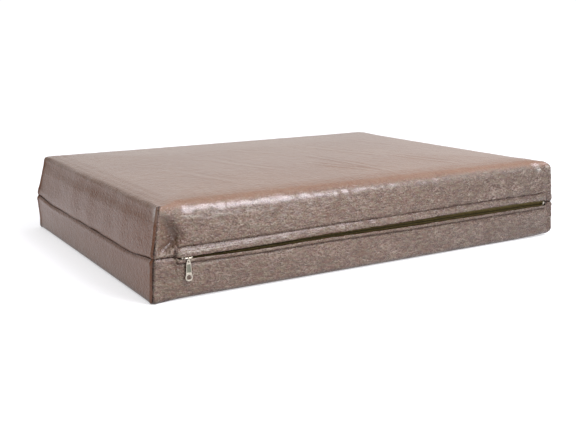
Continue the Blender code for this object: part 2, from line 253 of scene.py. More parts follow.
# %% [markdown]
# The floor fades into a white horizon. Above the horizon the surround is darker in front
# and to the left than behind, and it is bright overhead. That gives the bed's three visible
# sides their different tones, and puts a haze on the top. Vinyl shows its grain as a
# glitter in the reflection of something bright and soft, so there are two soft panels: one
# stands where its mirror image falls on the front, and one hangs over the front edge, where
# it draws the bright line along the fold.


# %% Floor and surround
SURROUND_OVERHEAD = 1.25
SURROUND_BEHIND = 1.0
SURROUND_LEFT = 0.18
SURROUND_HORIZON = 1.06
FRONT_HORIZON_SHARE = 0.6
FLOOR_GLOW = 0.50
FLOOR_TONE = (0.60, 0.60, 0.625, 1.0)
WHITE = (1.0, 1.0, 1.0, 1.0)


def add_floor():
    bm = bmesh.new()
    bmesh.ops.create_grid(bm, x_segments=1, y_segments=1, size=12.0)
    mesh = bpy.data.meshes.new("studio_floor")
    bm.to_mesh(mesh)
    bm.free()
    floor = bpy.data.objects.new("studio_floor", mesh)
    bpy.context.scene.collection.objects.link(floor)
    white = Finish("studio_white")
    white.wear(Roughness=0.9, Base_Color=FLOOR_TONE, Specular_IOR_Level=0.0)
    white.wear(Emission_Color=WHITE, Emission_Strength=FLOOR_GLOW)
    mesh.materials.append(white.material)
    return floor


def add_surround():
    world = bpy.data.worlds.new("studio_surround")
    bpy.context.scene.world = world
    world.use_nodes = True
    sky = Graph(world.node_tree)
    direction = sky.node("ShaderNodeTexCoord").outputs["Generated"]
    split = sky.node("ShaderNodeSeparateXYZ", {}, {0: direction})
    x, y, z = (Field(sky, socket) for socket in split.outputs)
    behind = (x * 0.85 + y * 0.5).rise(-0.1, 0.6)
    low = SURROUND_LEFT + behind * (SURROUND_BEHIND - SURROUND_LEFT)
    high = z.rise(0.5, 0.85)
    tone = low + high * (SURROUND_OVERHEAD - low)
    horizon = z.rise(0.16, 0.08)
    band = (FRONT_HORIZON_SHARE + behind * (1 - FRONT_HORIZON_SHARE)) * SURROUND_HORIZON
    tone = tone + horizon * (band - tone)
    background = world.node_tree.nodes["Background"]
    sky.feed(background.inputs["Strength"], tone)
    background.inputs["Color"].default_value = WHITE


# %% Soft panels
PANELS = {
    "front_panel": ((0.42, -1.9, 0.75), (-0.2, -0.2, 0.05), (0.7, 0.6), 20.0, (1.0, 1.0, 1.0)),
    "rim_panel": ((0.45, -0.9, 1.3), (-0.2, -0.22, 0.1), (0.7, 0.5), 18.0, (0.96, 0.91, 1.0)),
}


def add_panel(name, place, aim, size, power, colour):
    """A soft rectangular light at place, facing aim."""
    data = bpy.data.lights.new(name, "AREA")
    data.shape = "RECTANGLE"
    data.size, data.size_y = size
    data.energy = power
    data.color = colour
    panel = bpy.data.objects.new(name, data)
    place, aim = Vector(place), Vector(aim)
    turn = (aim - place).to_track_quat("-Z", "Y").to_matrix().to_4x4()
    panel.matrix_world = Matrix.Translation(place) @ turn
    bpy.context.scene.collection.objects.link(panel)
    return panel


add_floor()
add_surround()
for panel_name, panel_light in PANELS.items():
    add_panel(panel_name, *panel_light)
bpy.context.scene.view_settings.view_transform = "Standard"
print("soft panels:", list(PANELS))

# %% [markdown]
# ## The cover
#
# Each shell is cut as a cross, folded up and closed with a seam in every corner. That is
# why the corners are sharp lines, while the top edge is a soft fold with no seam. A grid is
# the right mesh for such a cloth: rings run round the wall from the middle seam to the fold,
# and a rectangular grid fills the panel. Rows and columns lie closer where seams and hems
# need them, so no points are wasted on the plain middle.


# %% Spacing of rows and columns
def graded(length, fine, coarse, growth=1.3):
    """Positions from 0 to length, fine at both ends and coarse in the middle."""
    steps, step = [], fine
    while sum(steps) + step < length / 2:
        steps.append(step)
        step = min(step * growth, coarse)
    half = np.concatenate([[0.0], np.cumsum(steps)])
    half *= (length / 2) / half[-1]
    return np.concatenate([half, length - half[-2::-1]])


def runs(stops, fine, coarse):
    """Positions through all the stops, fine next to each of them."""
    pieces = [a + graded(b - a, fine, coarse)[:-1] for a, b in zip(stops, stops[1:])]
    return np.concatenate(pieces + [[stops[-1]]])


def wall_rows(height, hem_rows, coarse):
    """Heights above the seam: the hem's own rows, then even ones up to the fold."""
    count = round((height - hem_rows[-1]) / coarse)
    return np.concatenate([hem_rows, np.linspace(hem_rows[-1], height, count + 1)[1:]])


def smooth(low, high, value):
    """0 below low, 1 above high, smooth between."""
    share = np.clip((value - low) / (high - low), 0.0, 1.0)
    return share * share * (3 - 2 * share)


def hill(value, width):
    return np.exp(-((value / width) ** 2))


print("columns on 100 mm of wall:", len(graded(100 * MM, 0.9 * MM, 2.9 * MM)))

# %% [markdown]
# A shell is described by its rim radii, the height of its free edge at each column and the
# direction in which its wall runs. The same class makes the upper shell, the lower shell
# and the coarse copies for the cloth simulation. The rim is a quarter round, wide on the
# front and tight in the corners, and its columns are drawn in beside a corner so that the
# rings never cross. The class keeps each point's outward direction and its distance from
# the nearest corner seam, which the later shaping needs.

# %% One shell as rings and a panel
RIM_STEPS = 11
CORNER_FADE = 36 * MM
WALL_NOMINAL = {1: 31.5 * MM, -1: 38.5 * MM}


class Shell:
    """A shell's grid. side is 1 for the upper shell and -1 for the lower one."""

    def __init__(self, side, columns_x, columns_y, rows, rim, corner_rim, edge_height, rim_steps):
        self.side, self.rows = side, rows
        self.lay_perimeter(columns_x, columns_y)
        level = HEIGHT if side > 0 else 0.0
        from_corner = smooth(0.0, CORNER_FADE, self.corner)
        tip = np.where(self.base[:, 0] > 0, corner_rim[1], corner_rim[0])
        radius = tip + (np.array(rim)[self.face] - tip) * from_corner
        edge = edge_height(self.base)
        tall = side * (level - edge) - radius
        none = np.zeros_like(radius)
        rings, outward = [], []
        for share in rows / rows[-1]:
            rings.append(self.ring(none, none, edge + side * tall * share))
            outward.append(self.lean(0.0))
        for step in range(1, rim_steps + 1):
            angle = step / rim_steps * pi / 2
            turned = 1 - cos(angle)
            height = level - side * radius * (1 - sin(angle))
            rings.append(self.ring(radius * turned, tip * turned, height))
            outward.append(self.lean(angle))
        self.rings = np.array(rings)
        self.outward = np.array(outward)
        self.wall_count = len(rows)
        self.ring_points = self.rings.shape[0] * self.rings.shape[1]

    def lay_perimeter(self, xs, ys):
        """Base points of a ring, anticlockwise from the corner at -X and -Y."""
        self.nx, self.ny = len(xs) - 1, len(ys) - 1
        self.xs, self.ys = xs, ys
        sides = [
            (np.stack([xs[:-1], np.full(self.nx, ys[0])], 1), (0, -1), xs),
            (np.stack([np.full(self.ny, xs[-1]), ys[:-1]], 1), (1, 0), ys),
            (np.stack([xs[:0:-1], np.full(self.nx, ys[-1])], 1), (0, 1), xs),
            (np.stack([np.full(self.ny, xs[0]), ys[:0:-1]], 1), (-1, 0), ys),
        ]
        self.base = np.concatenate([points for points, _, _ in sides])
        self.normal = np.concatenate([np.tile(n, (len(p), 1)) for p, n, _ in sides]).astype(float)
        self.face = np.repeat(np.arange(4), [len(points) for points, _, _ in sides])
        along = [points[:, 0 if normal[1] else 1] for points, normal, _ in sides]
        ends = [(line[0], line[-1]) for _, _, line in sides]
        nearest = [np.minimum(a - low, high - a) for a, (low, high) in zip(along, ends)]
        self.corner = np.concatenate(nearest)
        self.outward_along = np.sign(self.base) * (self.normal == 0)
        starts = np.cumsum([0] + [len(points) for points, _, _ in sides[:-1]])
        for start, corner in zip(starts, ((-1, -1), (1, -1), (1, 1), (-1, 1))):
            self.normal[start] = corner
            self.outward_along[start] = 0.0

    def ring(self, inset, corner_inset, height):
        """One ring, set in from the walls, with its columns drawn in beside the corners."""
        drawn = corner_inset * np.clip(1 - self.corner / CORNER_FADE, 0.0, 1.0)
        flat = self.base - self.normal * inset[:, None] - self.outward_along * drawn[:, None]
        return np.column_stack([flat, np.broadcast_to(height, len(flat))])

    def lean(self, angle):
        unit = self.normal / np.linalg.norm(self.normal, axis=1)[:, None]
        up = np.full(len(unit), self.side * sin(angle))
        return np.column_stack([unit * cos(angle), up])

    def panel(self, rings):
        """The inner points of the panel: a patch stretched between its four edges."""
        rim = rings[-1]
        nx, ny = self.nx, self.ny
        south, east = rim[: nx + 1], rim[nx : nx + ny + 1]
        north = rim[nx + ny : 2 * nx + ny + 1][::-1]
        west = np.concatenate([rim[2 * nx + ny :], rim[:1]])[::-1]
        u = ((south[:, 0] - south[0, 0]) / (south[-1, 0] - south[0, 0]))[:, None, None]
        v = ((west[:, 1] - west[0, 1]) / (west[-1, 1] - west[0, 1]))[None, :, None]
        ends = (1 - v) * south[:, None] + v * north[:, None]
        sides = (1 - u) * west[None, :] + u * east[None, :]
        corners = (
            (1 - u) * (1 - v) * south[0]
            + u * (1 - v) * south[-1]
            + (1 - u) * v * north[0]
            + u * v * north[-1]
        )
        return (ends + sides - corners)[1:-1, 1:-1]

    def faces(self):
        """Quads of the rings and of the panel, wound so that they face outwards."""
        count, levels = len(self.base), len(self.rings)
        around = np.arange(count)
        after = (around + 1) % count
        quads = []
        for level in range(levels - 1):
            low, high = level * count, (level + 1) * count
            quads.append(np.stack([around + low, after + low, after + high, around + high], 1))
        nx, ny = self.nx, self.ny
        grid = np.zeros((nx + 1, ny + 1), int)
        rim = around + (levels - 1) * count
        grid[:, 0] = rim[: nx + 1]
        grid[nx, :] = rim[nx : nx + ny + 1]
        grid[:, ny] = rim[nx + ny : 2 * nx + ny + 1][::-1]
        grid[0, :] = np.concatenate([rim[2 * nx + ny :], rim[:1]])[::-1]
        inner = levels * count + np.arange((nx - 1) * (ny - 1)).reshape(nx - 1, ny - 1)
        grid[1:-1, 1:-1] = inner
        patch = np.stack([grid[:-1, :-1], grid[1:, :-1], grid[1:, 1:], grid[:-1, 1:]], -1)
        quads.append(patch.reshape(-1, 4))
        return np.concatenate(quads)[:, :: self.side]


def mesh_object(name, points, quads, masks=None):
    """A smooth-shaded mesh object from arrays, with its masks as point attributes."""
    mesh = bpy.data.meshes.new(name)
    mesh.from_pydata(points.tolist(), [], np.asarray(quads).tolist())
    for key, values in (masks or {}).items():
        attribute = mesh.attributes.new(key, "FLOAT", "POINT")
        attribute.data.foreach_set("value", np.asarray(values, np.float32))
    mesh.shade_smooth()
    mesh.update()
    obj = bpy.data.objects.new(name, mesh)
    bpy.context.scene.collection.objects.link(obj)
    return obj


# %% [markdown]
# The two free edges along the zip aren't straight: the cloth between the stitches relaxes,
# and the gap opens towards the far end. Each edge is a smooth curve through a few heights
# above or below the middle of the zip. The slider's bridge needs 0.9 mm on both sides, so
# no height is smaller.

# %% Edges of the flap and the lip
EDGE_STATIONS = (0.0, 0.18, 0.34, 0.54, 0.72, 0.90, 1.0)
FLAP_HEIGHTS = (0.9, 1.5, 3.2, 3.6, 5.4, 5.8, 5.0)
LIP_DEPTHS = (0.9, 2.8, 1.4, 2.7, 1.9, 1.8, 1.6)
END_TURN = 2.5 * MM
LEFT_SAG = 6.0 * MM


def zip_edge(x, heights, side):
    """Height of a hem's free edge along the front, running into the seam at both ends."""
    share = (x - ZIP_START) / (ZIP_END - ZIP_START)
    fine = np.linspace(0, 1, 400)
    curve = np.interp(fine, EDGE_STATIONS, heights)
    kernel = hill(np.linspace(-1, 1, 61), 0.5)
    padded = np.pad(curve, 30, mode="edge")
    curve = np.convolve(padded, kernel / kernel.sum(), mode="valid")
    free = ZIP_Z + side * MM * np.interp(share, fine, curve)
    inside = smooth(ZIP_START, ZIP_START + END_TURN, x) * smooth(-ZIP_END, -ZIP_END + END_TURN, -x)
    return SEAM_Z + (free - SEAM_Z) * inside


def edge_height_of(heights, side):
    def height(base):
        front = base[:, 1] < -HALF_WIDTH + MM / 10
        from_corner = HALF_WIDTH - np.abs(base[:, 1])
        left = base[:, 0] < -HALF_LENGTH + MM / 10
        sagged = SEAM_Z - LEFT_SAG * smooth(0.0, 80 * MM, from_corner) * left
        return np.where(front, zip_edge(base[:, 0], heights, side), sagged)

    return height


for heights, side in ((FLAP_HEIGHTS, 1), (LIP_DEPTHS, -1)):
    print("free edge at the middle of the zip:", round(float(zip_edge(0.0, heights, side)), 4))

# %% [markdown]
# ## Letting the cloth settle
#
# Foam presses the cover from inside, and the seams hold it. A cloth simulation on a coarse
# copy of each shell gives that shape: the free edge and the corner seams are pinned, and a
# little pressure fills the rest. How far each point moved is capped, so that the cloth stays
# on the foam, and carried over to the fine grid as a weighted mean of the nearest points.

# %% Cloth simulation on a coarse shell
SIM_CELL = 9 * MM
SIM_FRAMES = 16
SIM_CAP = 3.2 * MM
SIM_PRESSURE = 3.0
SIM_NEIGHBOURS = 16
VINYL_CLOTH = {
    "quality": 6,
    "mass": 0.25,
    "tension_stiffness": 25,
    "compression_stiffness": 25,
    "shear_stiffness": 10,
    "bending_stiffness": 4,
    "use_pressure": True,
    "uniform_pressure_force": SIM_PRESSURE,
}


def settle(shell_points, quads, pins):
    """Runs Cloth on a coarse mesh. Returns how far each point moved, capped."""
    obj = mesh_object("settling", shell_points, quads)
    group = obj.vertex_groups.new(name="sewn")
    for index, weight in enumerate(pins):
        if weight > 0:
            group.add([index], float(weight), "REPLACE")
    cloth = obj.modifiers.new("Cloth", "CLOTH")
    cloth.settings.vertex_group_mass = "sewn"
    for key, value in VINYL_CLOTH.items():
        setattr(cloth.settings, key, value)
    cloth.settings.effector_weights.gravity = 0.0
    cloth.collision_settings.use_collision = False
    scene = bpy.context.scene
    for step in range(1, SIM_FRAMES + 1):
        scene.frame_set(step)
    graph = bpy.context.evaluated_depsgraph_get()
    settled = obj.evaluated_get(graph).data
    moved = np.array([v.co for v in settled.vertices]) - shell_points
    scene.frame_set(1)
    bpy.data.objects.remove(obj, do_unlink=True)
    far = np.linalg.norm(moved, axis=1, keepdims=True)
    capped = SIM_CAP * np.tanh(far / SIM_CAP)
    return moved * (capped / np.maximum(far, 1e-9))


def carry(source, moved, target):
    """Displacement at the target points, as a weighted mean of the nearest source points."""
    tree = KDTree(len(source))
    for index, point in enumerate(source):
        tree.insert(point, index)
    tree.balance()
    result = np.zeros_like(target)
    for index, point in enumerate(target):
        found = tree.find_n(point, SIM_NEIGHBOURS)
        far = np.array([distance for _, _, distance in found])
        weight = hill(far, SIM_CELL * 0.9) + 1e-9
        shifts = moved[[number for _, number, _ in found]]
        result[index] = weight @ shifts / weight.sum()
    return result


print("cloth settles for", SIM_FRAMES, "frames and moves no more than", SIM_CAP, "m")

# %% [markdown]
# ## Folds and wrinkles
#
# What a simulation can't place is added as small pushes along each point's outward
# direction: the grooves of the seams with their turned edges, the puffed hems, the sunken
# corner where the foam doesn't fill the cover, and the long faint wrinkles of the top.
# Every push is a smooth function of a distance, so the grid stays even.
#
# A hem's profile lists millimetres from its free edge and millimetres out of the wall. The
# dip is the row of stitches, and behind it the wall bulges a little over the foam.

# %% Seam grooves and hems
CORNER_GROOVE = 2.6 * MM
CORNER_GROOVE_WIDTH = 1.8 * MM
CORNER_ROLL = 1.5 * MM
SEAM_GROOVE = 1.3 * MM
SEAM_GROOVE_WIDTH = 1.3 * MM
SEAM_ROLL = 0.7 * MM
WALL_BULGE_FADE = 60 * MM
HEM_ROWS = 14
FLAP_PROFILE = (
    ((0.0, 2.6), (0.8, 3.0), (1.8, 3.2), (3.0, 3.3), (4.2, 3.2), (5.4, 2.9), (6.5, 2.4))
    + ((7.5, 1.6), (8.4, 0.7), (9.1, -0.1), (9.7, -0.3), (10.4, 0.3), (11.4, 0.9))
    + ((13.0, 1.2), (16.0, 1.4), (24.0, 0.8), (38.5, -1.2))
)
LIP_PROFILE = (
    ((0.0, 2.4), (0.6, 2.9), (1.4, 3.1), (2.4, 3.1), (3.3, 2.6), (4.1, 1.6), (4.7, 0.6))
    + ((5.2, 0.0), (5.8, 0.2), (6.6, 0.7), (7.8, 1.1), (9.4, 1.3), (11.4, 1.4))
    + ((13.6, 1.4), (24.0, 0.8), (38.5, -0.5))
)
FLAP_STITCH_ROW = 9.7 * MM
LIP_STITCH_ROW = 5.2 * MM
print("hem profiles:", len(FLAP_PROFILE), "and", len(LIP_PROFILE), "stations")


def row_heights(shell):
    """Height of every ring above the seam, with the rim's rings counted at the wall's top."""
    return np.concatenate([shell.rows, np.full(RIM_STEPS, shell.rows[-1])])


def hem_push(shell, profile):
    """The hem's profile across the rows, faded in at both ends of the zip."""
    places, pushes = np.array(profile).T * MM
    heights = row_heights(shell)
    across = np.interp(heights, places, pushes)
    x = shell.base[:, 0]
    opened = smooth(ZIP_START - 0.6 * MM, ZIP_START + 1.4 * MM, x)[None, :]
    closed = smooth(-ZIP_END - 1.0 * MM, -ZIP_END + 2.5 * MM, -x)[None, :]
    near_hem = hill(heights - 4 * MM, 9 * MM)[:, None]
    wide = smooth(-HALF_LENGTH, -HALF_LENGTH + WALL_BULGE_FADE, x)
    wide = wide * smooth(-HALF_LENGTH, -HALF_LENGTH + WALL_BULGE_FADE, -x)
    fade = np.where(near_hem > 0.25, opened * closed, wide[None, :])
    return across[:, None] * fade * (shell.face == 0)[None, :]


def seam_push(shell):
    """Grooves down the corner seams and along the middle seam, with rolled lips."""
    run = shell.corner[None, :]
    heights = row_heights(shell)[:, None]
    roll = CORNER_ROLL * hill(run - 3.4 * MM, 2.0 * MM)
    corner = roll - CORNER_GROOVE * hill(run, CORNER_GROOVE_WIDTH)
    rim_fade = np.ones(len(shell.rings))
    rim_fade[shell.wall_count :] = np.linspace(1, 0, RIM_STEPS + 1)[1:]
    corner = corner * rim_fade[:, None]
    x = shell.base[:, 0]
    in_zip = smooth(ZIP_START - MM, ZIP_START + MM, x) * smooth(-ZIP_END - MM, -ZIP_END + MM, -x)
    seam = SEAM_ROLL * hill(heights - 4 * MM, 2.5 * MM)
    seam = seam - SEAM_GROOVE * hill(heights, SEAM_GROOVE_WIDTH)
    on_zip = ((shell.face == 0) * in_zip)[None, :]
    return corner + seam * (1 - on_zip)


# %% [markdown]
# At the front left corner the cover isn't filled. Between the corner seam and a curved fold
# the cloth sinks in, which leaves a three-sided facet with its point at the top, darkened
# with painted shade where it sinks. The fold is a short list of heights and places, and
# beside it the filled cloth stands up in a low ridge.

# %% The sunken corner
FACET_DEPTH = 7.5 * MM
FACET_STEP = 13 * MM
FACET_BASE = (51 * MM, 60 * MM)
FACET_RIDGE = 1.3 * MM
FACET_FOLD = (
    ((50, -281), (58, -281), (63, -271), (70, -267))
    + ((78, -272), (86, -281), (93, -291), (101, -303))
)


def facet_push(points, deep=FACET_DEPTH):
    heights, places = np.array(FACET_FOLD).T * MM
    fold = np.interp(points[..., 2], heights, places)
    left = fold - points[..., 0]
    corner = points[..., 0] + HALF_LENGTH
    wide = np.maximum(fold + HALF_LENGTH, 4 * MM)
    sink = smooth(0.0, FACET_STEP, left) * smooth(0.0, 1.0, np.clip(corner / wide * 1.25, 0, 1))
    tall = smooth(*FACET_BASE, points[..., 2]) * smooth(0.0, 12 * MM, wide - 4 * MM)
    ridge = FACET_RIDGE * hill(left + 3 * MM, 5 * MM) * smooth(50 * MM, 66 * MM, points[..., 2])
    return -deep * sink * tall + ridge * smooth(-103 * MM, -85 * MM, -points[..., 2])


print("deepest point of the facet:", FACET_DEPTH, "m")

# %% [markdown]
# Wrinkles are ridges along a line, and crumpled cloth is a web of sharp creases. The web
# comes from noise folded about its middle value, stretched along the way the cloth pulls.
# A wrinkle is given by its two ends, its height and its width, all in millimetres.

# %% Wrinkles
TOP_WRINKLES = (
    ((17, -6), (43, -211), 0.55, 5.0),
    ((-22, -70), (25, -181), 0.60, 4.5),
    ((-120, 20), (-90, -120), 0.30, 6.0),
    ((70, 60), (110, -90), 0.35, 5.5),
    ((-60, 110), (-10, 10), 0.25, 6.0),
    ((120, -60), (165, -200), 0.45, 5.0),
    ((180, 120), (215, -30), 0.30, 6.5),
    ((-200, -60), (-175, -170), 0.30, 6.0),
)
WRINKLE_STRENGTH = 1.5
LEFT_CREASE = 19 * MM
print("wrinkles on the top:", len(TOP_WRINKLES))


def folded_noise(points, stretch, seed, octaves=3):
    """A web of creases from 0 to 1: 1 on a crease."""
    scaled = points * np.asarray(stretch) + seed
    values = np.zeros(len(scaled))
    size, total = 1.0, 0.0
    for octave in range(octaves):
        layer = np.array([noise.noise(Vector(point)) for point in scaled * 2**octave])
        values += size * (1 - np.abs(layer) * 2.2)
        total += size
        size *= 0.5
    return np.clip(values / total, 0, 1)


def soft_noise(points, stretch, seed):
    scaled = points * np.asarray(stretch) + seed
    return np.array([noise.noise(Vector(point)) for point in scaled])


def top_wrinkles(points):
    """Pushes of the long faint wrinkles across the top."""
    push = np.zeros(len(points))
    for start, end, tall, wide in TOP_WRINKLES:
        a, b = np.array(start) * MM, np.array(end) * MM
        run = b - a
        length = np.linalg.norm(run)
        along = (points[:, :2] - a) @ run / length**2
        across = (points[:, :2] - a) @ np.array([-run[1], run[0]]) / length
        across = across + 4 * MM * np.sin(along * 5.0)
        ends = smooth(-0.1, 0.35, along) * smooth(-1.1, -0.65, -along)
        shape = hill(across, wide * MM) - 0.7 * hill(across - 1.6 * wide * MM, wide * MM)
        push += WRINKLE_STRENGTH * tall * MM * ends * shape
    return push


def crumple(points, amount):
    """Small sharp creases, running mostly down to the right, on the front of the cover."""
    turned = points @ np.array(Matrix.Rotation(radians(35), 3, "Y"))
    web = folded_noise(turned, (38.0, 30.0, 95.0), 11.0)
    return amount * (web - 0.6)


# %% [markdown]
# A filled cover is never a true box. The left end leans in towards the top and the right end
# less, the foam crowns the top, the back left corner flares where the seam is short, and the
# front right corner of the base is lifted. One function moves every point of the cover and
# of the foam, so the two stay together.


# %% Whole shape of the cover
TOP_RISE = 5.0 * MM
CROWN = 3.4 * MM
CROWN_REACH = 150 * MM
BACK_LEFT_EAR = 4.0 * MM
LIFTED_CORNER = 2.2 * MM
LEFT_LEAN = (8.5 * MM, 1.5 * MM)
RIGHT_LEAN = -5.0 * MM
BASE_SPREAD = 3.0 * MM
LEFT_SHIFT = -1.5 * MM


def lean_cover(points):
    moved = points.copy()
    x, y, z = points.T
    above = np.clip((z - SEAM_Z) / (HEIGHT - SEAM_Z), 0.0, 1.0)
    below = np.clip((SEAM_Z - z) / SEAM_Z, 0.0, 1.0)
    to_right = (x + HALF_LENGTH) / (2 * HALF_LENGTH)
    to_back = (y + HALF_WIDTH) / (2 * HALF_WIDTH)
    at_left = above * (LEFT_LEAN[0] + LEFT_LEAN[1] * to_back) - BASE_SPREAD * below + LEFT_SHIFT
    at_right = BASE_SPREAD * below + RIGHT_LEAN * above
    moved[:, 0] += at_left * (1 - to_right) + at_right * to_right
    back_left = hill(y - HALF_WIDTH, 70 * MM) * hill(x + HALF_LENGTH, 60 * MM)
    moved[:, 0] -= BACK_LEFT_EAR * hill(z - SEAM_Z, 26 * MM) * back_left
    edge = np.minimum(HALF_LENGTH - np.abs(x), HALF_WIDTH - np.abs(y))
    on_top = smooth(HEIGHT - 6 * MM, HEIGHT - 1 * MM, z)
    moved[:, 2] += TOP_RISE * above + CROWN * smooth(0.0, CROWN_REACH, edge) * on_top
    corner = hill(np.hypot(x - HALF_LENGTH, y + HALF_WIDTH), 38 * MM)
    moved[:, 2] += LIFTED_CORNER * corner * below
    return moved


print("the crown stands", round((TOP_RISE + CROWN) / MM, 1), "mm above the packed top")

# %% [markdown]
# Both shells go through the same steps: lay the grid, let the coarse copy settle, push the
# seams, hems and folds, and lean the whole. Three masks are stored on the points for the
# material to read: how crumpled the cloth is, how glossy it is, and how much painted shade
# falls deep in a seam. The last one also paints shade on the foot of the cover and in the
# sunken corner, and is finished once the cover has leaned.


# %% Build a shell
def shape_rings(shell, profile):
    """Ring points after the seam, hem and fold pushes."""
    push = seam_push(shell) + hem_push(shell, profile)
    rings = shell.rings + shell.outward * push[..., None]
    if shell.side > 0:
        on_front = (shell.face == 0)[None, :]
        rings = rings + shell.outward * (facet_push(rings) * on_front)[..., None]
    return rings


def settled_shift(side, heights, rim, corner_rim, targets):
    """The settled cloth's displacement at the target points."""
    xs = runs((-HALF_LENGTH, HALF_LENGTH), SIM_CELL, SIM_CELL)
    ys = runs((-HALF_WIDTH, HALF_WIDTH), SIM_CELL, SIM_CELL)
    rows = wall_rows(WALL_NOMINAL[side], np.array((0.0,)), SIM_CELL)
    coarse = Shell(side, xs, ys, rows, rim, corner_rim, edge_height_of(heights, side), 3)
    flat = np.concatenate([coarse.rings.reshape(-1, 3), coarse.panel(coarse.rings).reshape(-1, 3)])
    pins = np.zeros(len(flat))
    count = len(coarse.base)
    pins[:count] = 1.0
    for row in range(len(coarse.rings)):
        starts = np.where(coarse.corner < SIM_CELL / 4)[0] + row * count
        pins[starts] = 1.0
    pins[flat[:, 2] < 2 * MM] = 1.0
    moved = settle(flat, coarse.faces(), pins)
    return carry(flat, moved, targets)


def build_shell(name, side, heights, profile, rim, corner_rim):
    xs = runs((-HALF_LENGTH, ZIP_START, ZIP_END, HALF_LENGTH), 0.9 * MM, 2.9 * MM)
    ys = runs((-HALF_WIDTH, HALF_WIDTH), 0.9 * MM, 4.0 * MM if side > 0 else 5.0 * MM)
    hem_rows = np.array([place for place, _ in profile[:HEM_ROWS]]) * MM
    rows = wall_rows(WALL_NOMINAL[side], hem_rows, 2.7 * MM)
    shell = Shell(side, xs, ys, rows, rim, corner_rim, edge_height_of(heights, side), RIM_STEPS)
    rings = shape_rings(shell, profile)
    points = np.concatenate([rings.reshape(-1, 3), shell.panel(rings).reshape(-1, 3)])
    points = points + settled_shift(side, heights, rim, corner_rim, points)
    masks = surface_masks(shell, points, FLAP_STITCH_ROW if side > 0 else LIP_STITCH_ROW)
    flat_top = np.tile((0, 0, side), (len(points) - shell.ring_points, 1))
    outward = np.concatenate([shell.outward.reshape(-1, 3), flat_top])
    push = wrinkle_push(side, points, masks["crumple"])
    points = lean_cover(points + outward * push[:, None])
    # Painted shade along the foot of the cover, next to the floor.
    at_base = BASE_SHADE * hill(points[:, 2], BASE_SHADE_HEIGHT)
    masks["seam"] = np.maximum(masks["seam"], at_base)
    return mesh_object(name, points, shell.faces(), masks), shell, points


def wrinkle_push(side, points, crumpled):
    """Creases all over, and the wrinkles of the top and the left wall on the upper shell."""
    push = crumple(points, CRUMPLE_HEIGHT) * crumpled
    if side > 0:
        edge = np.minimum(HALF_LENGTH - np.abs(points[:, 0]), HALF_WIDTH - np.abs(points[:, 1]))
        push += top_wrinkles(points) * smooth(6 * MM, 20 * MM, edge)
        push += left_side_creases(points)
    return push * smooth(0.0, 9 * MM, points[:, 2])


# %% Masks of the surface, side by side
CRUMPLE_HEIGHT = 1.4 * MM
SIDE_CRUMPLE = (1.0, 0.8, 0.7, 0.25)
TOP_CRUMPLE = 0.2
SIDE_GLOSS = (0.3, 0.3, 0.3, 0.0)
TOP_GLOSS = 0.08
RIM_GLOSS = 0.7
FLAP_GLOSS = 0.45
FACET_SHADE = 0.75
BASE_SHADE = 0.8
BASE_SHADE_HEIGHT = 4.5 * MM


def surface_masks(shell, points, stitch_row):
    on_panel = np.arange(len(points)) >= shell.ring_points
    high = smooth(HEIGHT - 9 * MM, HEIGHT - 1 * MM, points[:, 2])
    masks = []
    for by_side, on_top in ((SIDE_CRUMPLE, TOP_CRUMPLE), (SIDE_GLOSS, TOP_GLOSS)):
        mask = np.tile(np.array(by_side)[shell.face], len(shell.rings))
        mask = np.concatenate([mask, np.full(on_panel.sum(), on_top)])
        masks.append(mask * (1 - high) + on_top * high)
    rough, gloss = masks
    rim = hill(points[:, 2] - HEIGHT + 6 * MM, 6 * MM) * (points[:, 1] < 12 * MM - HALF_WIDTH)
    gloss = gloss + RIM_GLOSS * rim * ~on_panel
    to_right = smooth(-100 * MM, HALF_LENGTH, points[:, 0])
    rough = rough * (1 + 0.4 * to_right * (rough > 0.5))
    facet = facet_push(points, 1.0)
    sunken = facet * (points[:, 1] < -HALF_WIDTH * 0.9)
    rough = rough * (1 + 0.6 * np.clip(sunken, -1.0, 0.0))
    shade = painted_seam_shade(shell, len(points), stitch_row)
    if shell.side > 0:
        flap = hill(row_heights(shell) - 5 * MM, 2.5 * MM)[:, None] * (shell.face == 0)[None, :]
        gloss[: shell.ring_points] += FLAP_GLOSS * flap.reshape(-1)
        facing = np.zeros(len(points), bool)
        facing[: shell.ring_points] = (shell.outward[..., 1] < -0.5).reshape(-1)
        # Painted shade in the sunken facet, darkest where it sinks deepest.
        shade = np.maximum(shade, FACET_SHADE * np.clip(-facet, 0.0, 1.0) ** 1.5 * facing)
    return {"crumple": rough, "gloss": gloss, "seam": shade}


def painted_seam_shade(shell, count, stitch_row):
    """1 in the depth of a seam, where hardly any light falls, and less under the stitches."""
    run = hill(shell.corner, 1.9 * MM)[None, :]
    heights = np.concatenate([shell.rows, np.full(RIM_STEPS, 1.0)])
    x = shell.base[:, 0]
    in_zip = (shell.face == 0) & (x > ZIP_START) & (x < ZIP_END)
    # Strength of the painted shade in the middle seam's groove on each side, none along the zip.
    worn = np.array([1.0, 0.8, 0.8, 0.6])[shell.face] * (1 - in_zip)
    seam = hill(heights, 0.6 * MM)[:, None] * worn[None, :]
    # Painted shade in the groove of the stitch row along the zip.
    stitched = 0.75 * hill(heights - stitch_row, 0.7 * MM)[:, None] * in_zip[None, :]
    mask = np.maximum(np.maximum(run, seam), stitched).reshape(-1)
    return np.concatenate([mask, np.zeros(count - len(mask))])


def left_side_creases(points):
    """A crease beside the left top edge, and soft folds down the left wall."""
    inset = points[:, 0] + HALF_LENGTH
    crease = hill(inset - LEFT_CREASE + 6 * MM, 5 * MM) - hill(inset - LEFT_CREASE, 2.5 * MM)
    on_top = smooth(HEIGHT - 3 * MM, HEIGHT, points[:, 2])
    ends = smooth(-HALF_WIDTH, -HALF_WIDTH + 60 * MM, points[:, 1])
    folds = 1.2 * MM * soft_noise(points, (0.0, 22.0, 5.0), 4.0)
    folds = folds * smooth(-12 * MM, -1 * MM, -inset)
    return 0.5 * MM * crease * on_top * ends + folds * (1 - on_top)


print("gloss on the rim", RIM_GLOSS, "and on the flap", FLAP_GLOSS)
